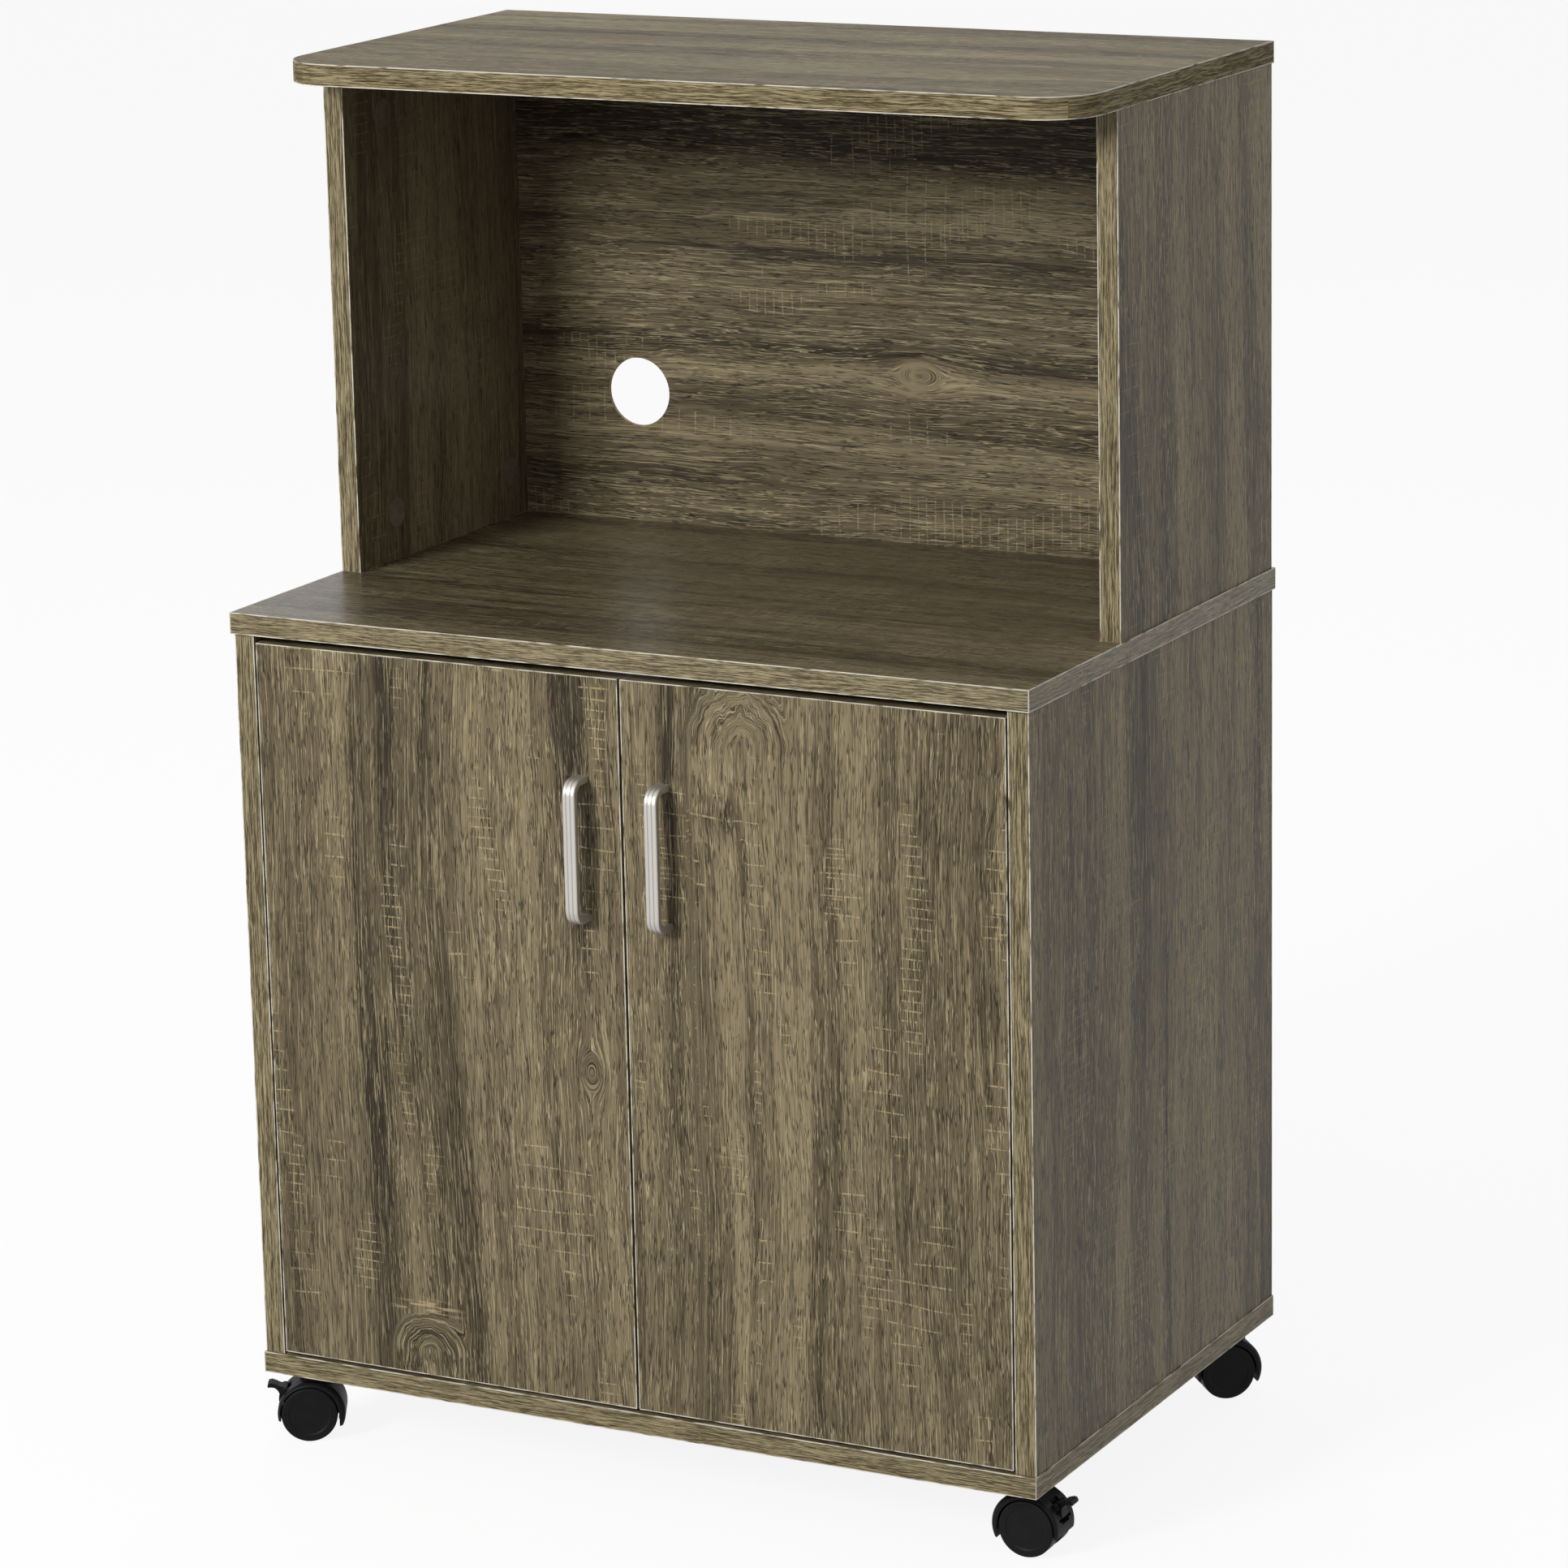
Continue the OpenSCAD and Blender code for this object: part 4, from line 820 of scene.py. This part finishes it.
ground = {
    "half": 40.0,
    "bounce": (0.40, 0.40, 0.40, 1.0),  # what the floor throws back at the cart
    "seen": (0.90, 0.90, 0.90, 1.0),
    "whiteShare": 0.89,  # the rest of what the camera sees keeps the shadow
}


# The floor is diffuse, and where it is seen most of it gives way to plain white, so
# that a faint shadow is all that stays.
def makeFloor(v):
    graph = newMaterial("paleFloor")
    seen = graph.seenRays()
    diffuse = graph.node("ShaderNodeBsdfDiffuse", {},
                         {"Color": graph.mix(seen, v["bounce"], v["seen"])})
    glow = graph.node("ShaderNodeEmission", {}, {"Color": white, "Strength": 1.0})
    both = graph.node("ShaderNodeMixShader", {},
                      {0: seen * v["whiteShare"], 1: diffuse, 2: glow})
    graph.node("ShaderNodeOutputMaterial", {}, {"Surface": both})
    half = v["half"]
    mesh = bpy.data.meshes.new("studioFloor")
    mesh.from_pydata([(-half, -half, 0), (half, -half, 0), (half, half, 0),
                      (-half, half, 0)], [], [(0, 1, 2, 3)])
    mesh.materials.append(graph.owner)
    floor = bpy.data.objects.new("studioFloor", mesh)
    bpy.context.scene.collection.objects.link(floor)


# A square lamp, turned from its place towards the middle of the cart.
def makeLamp(name, v):
    data = bpy.data.lights.new(name, "AREA")
    data.size = v["size"]
    data.energy = v["power"]
    lamp = bpy.data.objects.new(name, data)
    bpy.context.scene.collection.objects.link(lamp)
    lamp.location = v["place"]
    towards = Vector(studio["aim"]) - lamp.location
    lamp.rotation_euler = towards.to_track_quat("-Z", "Y").to_euler()


# The world is white where it is seen and a plain grey where it lights the cart.
def makeWorld(v):
    world = bpy.data.worlds.new("studio")
    bpy.context.scene.world = world
    graph = Graph(world)
    strength = graph.pick(graph.seenRays(), v["worldLight"], v["background"])
    sky = graph.node("ShaderNodeBackground", {}, {"Color": white, "Strength": strength})
    graph.node("ShaderNodeOutputWorld", {}, {"Surface": sky})


makeFloor(ground)
makeWorld(studio)
for lampName in ("key", "fill", "rim"):
    makeLamp(lampName + "Lamp", studio[lampName])
bpy.context.scene.view_settings.view_transform = "Standard"
print("studio lit")
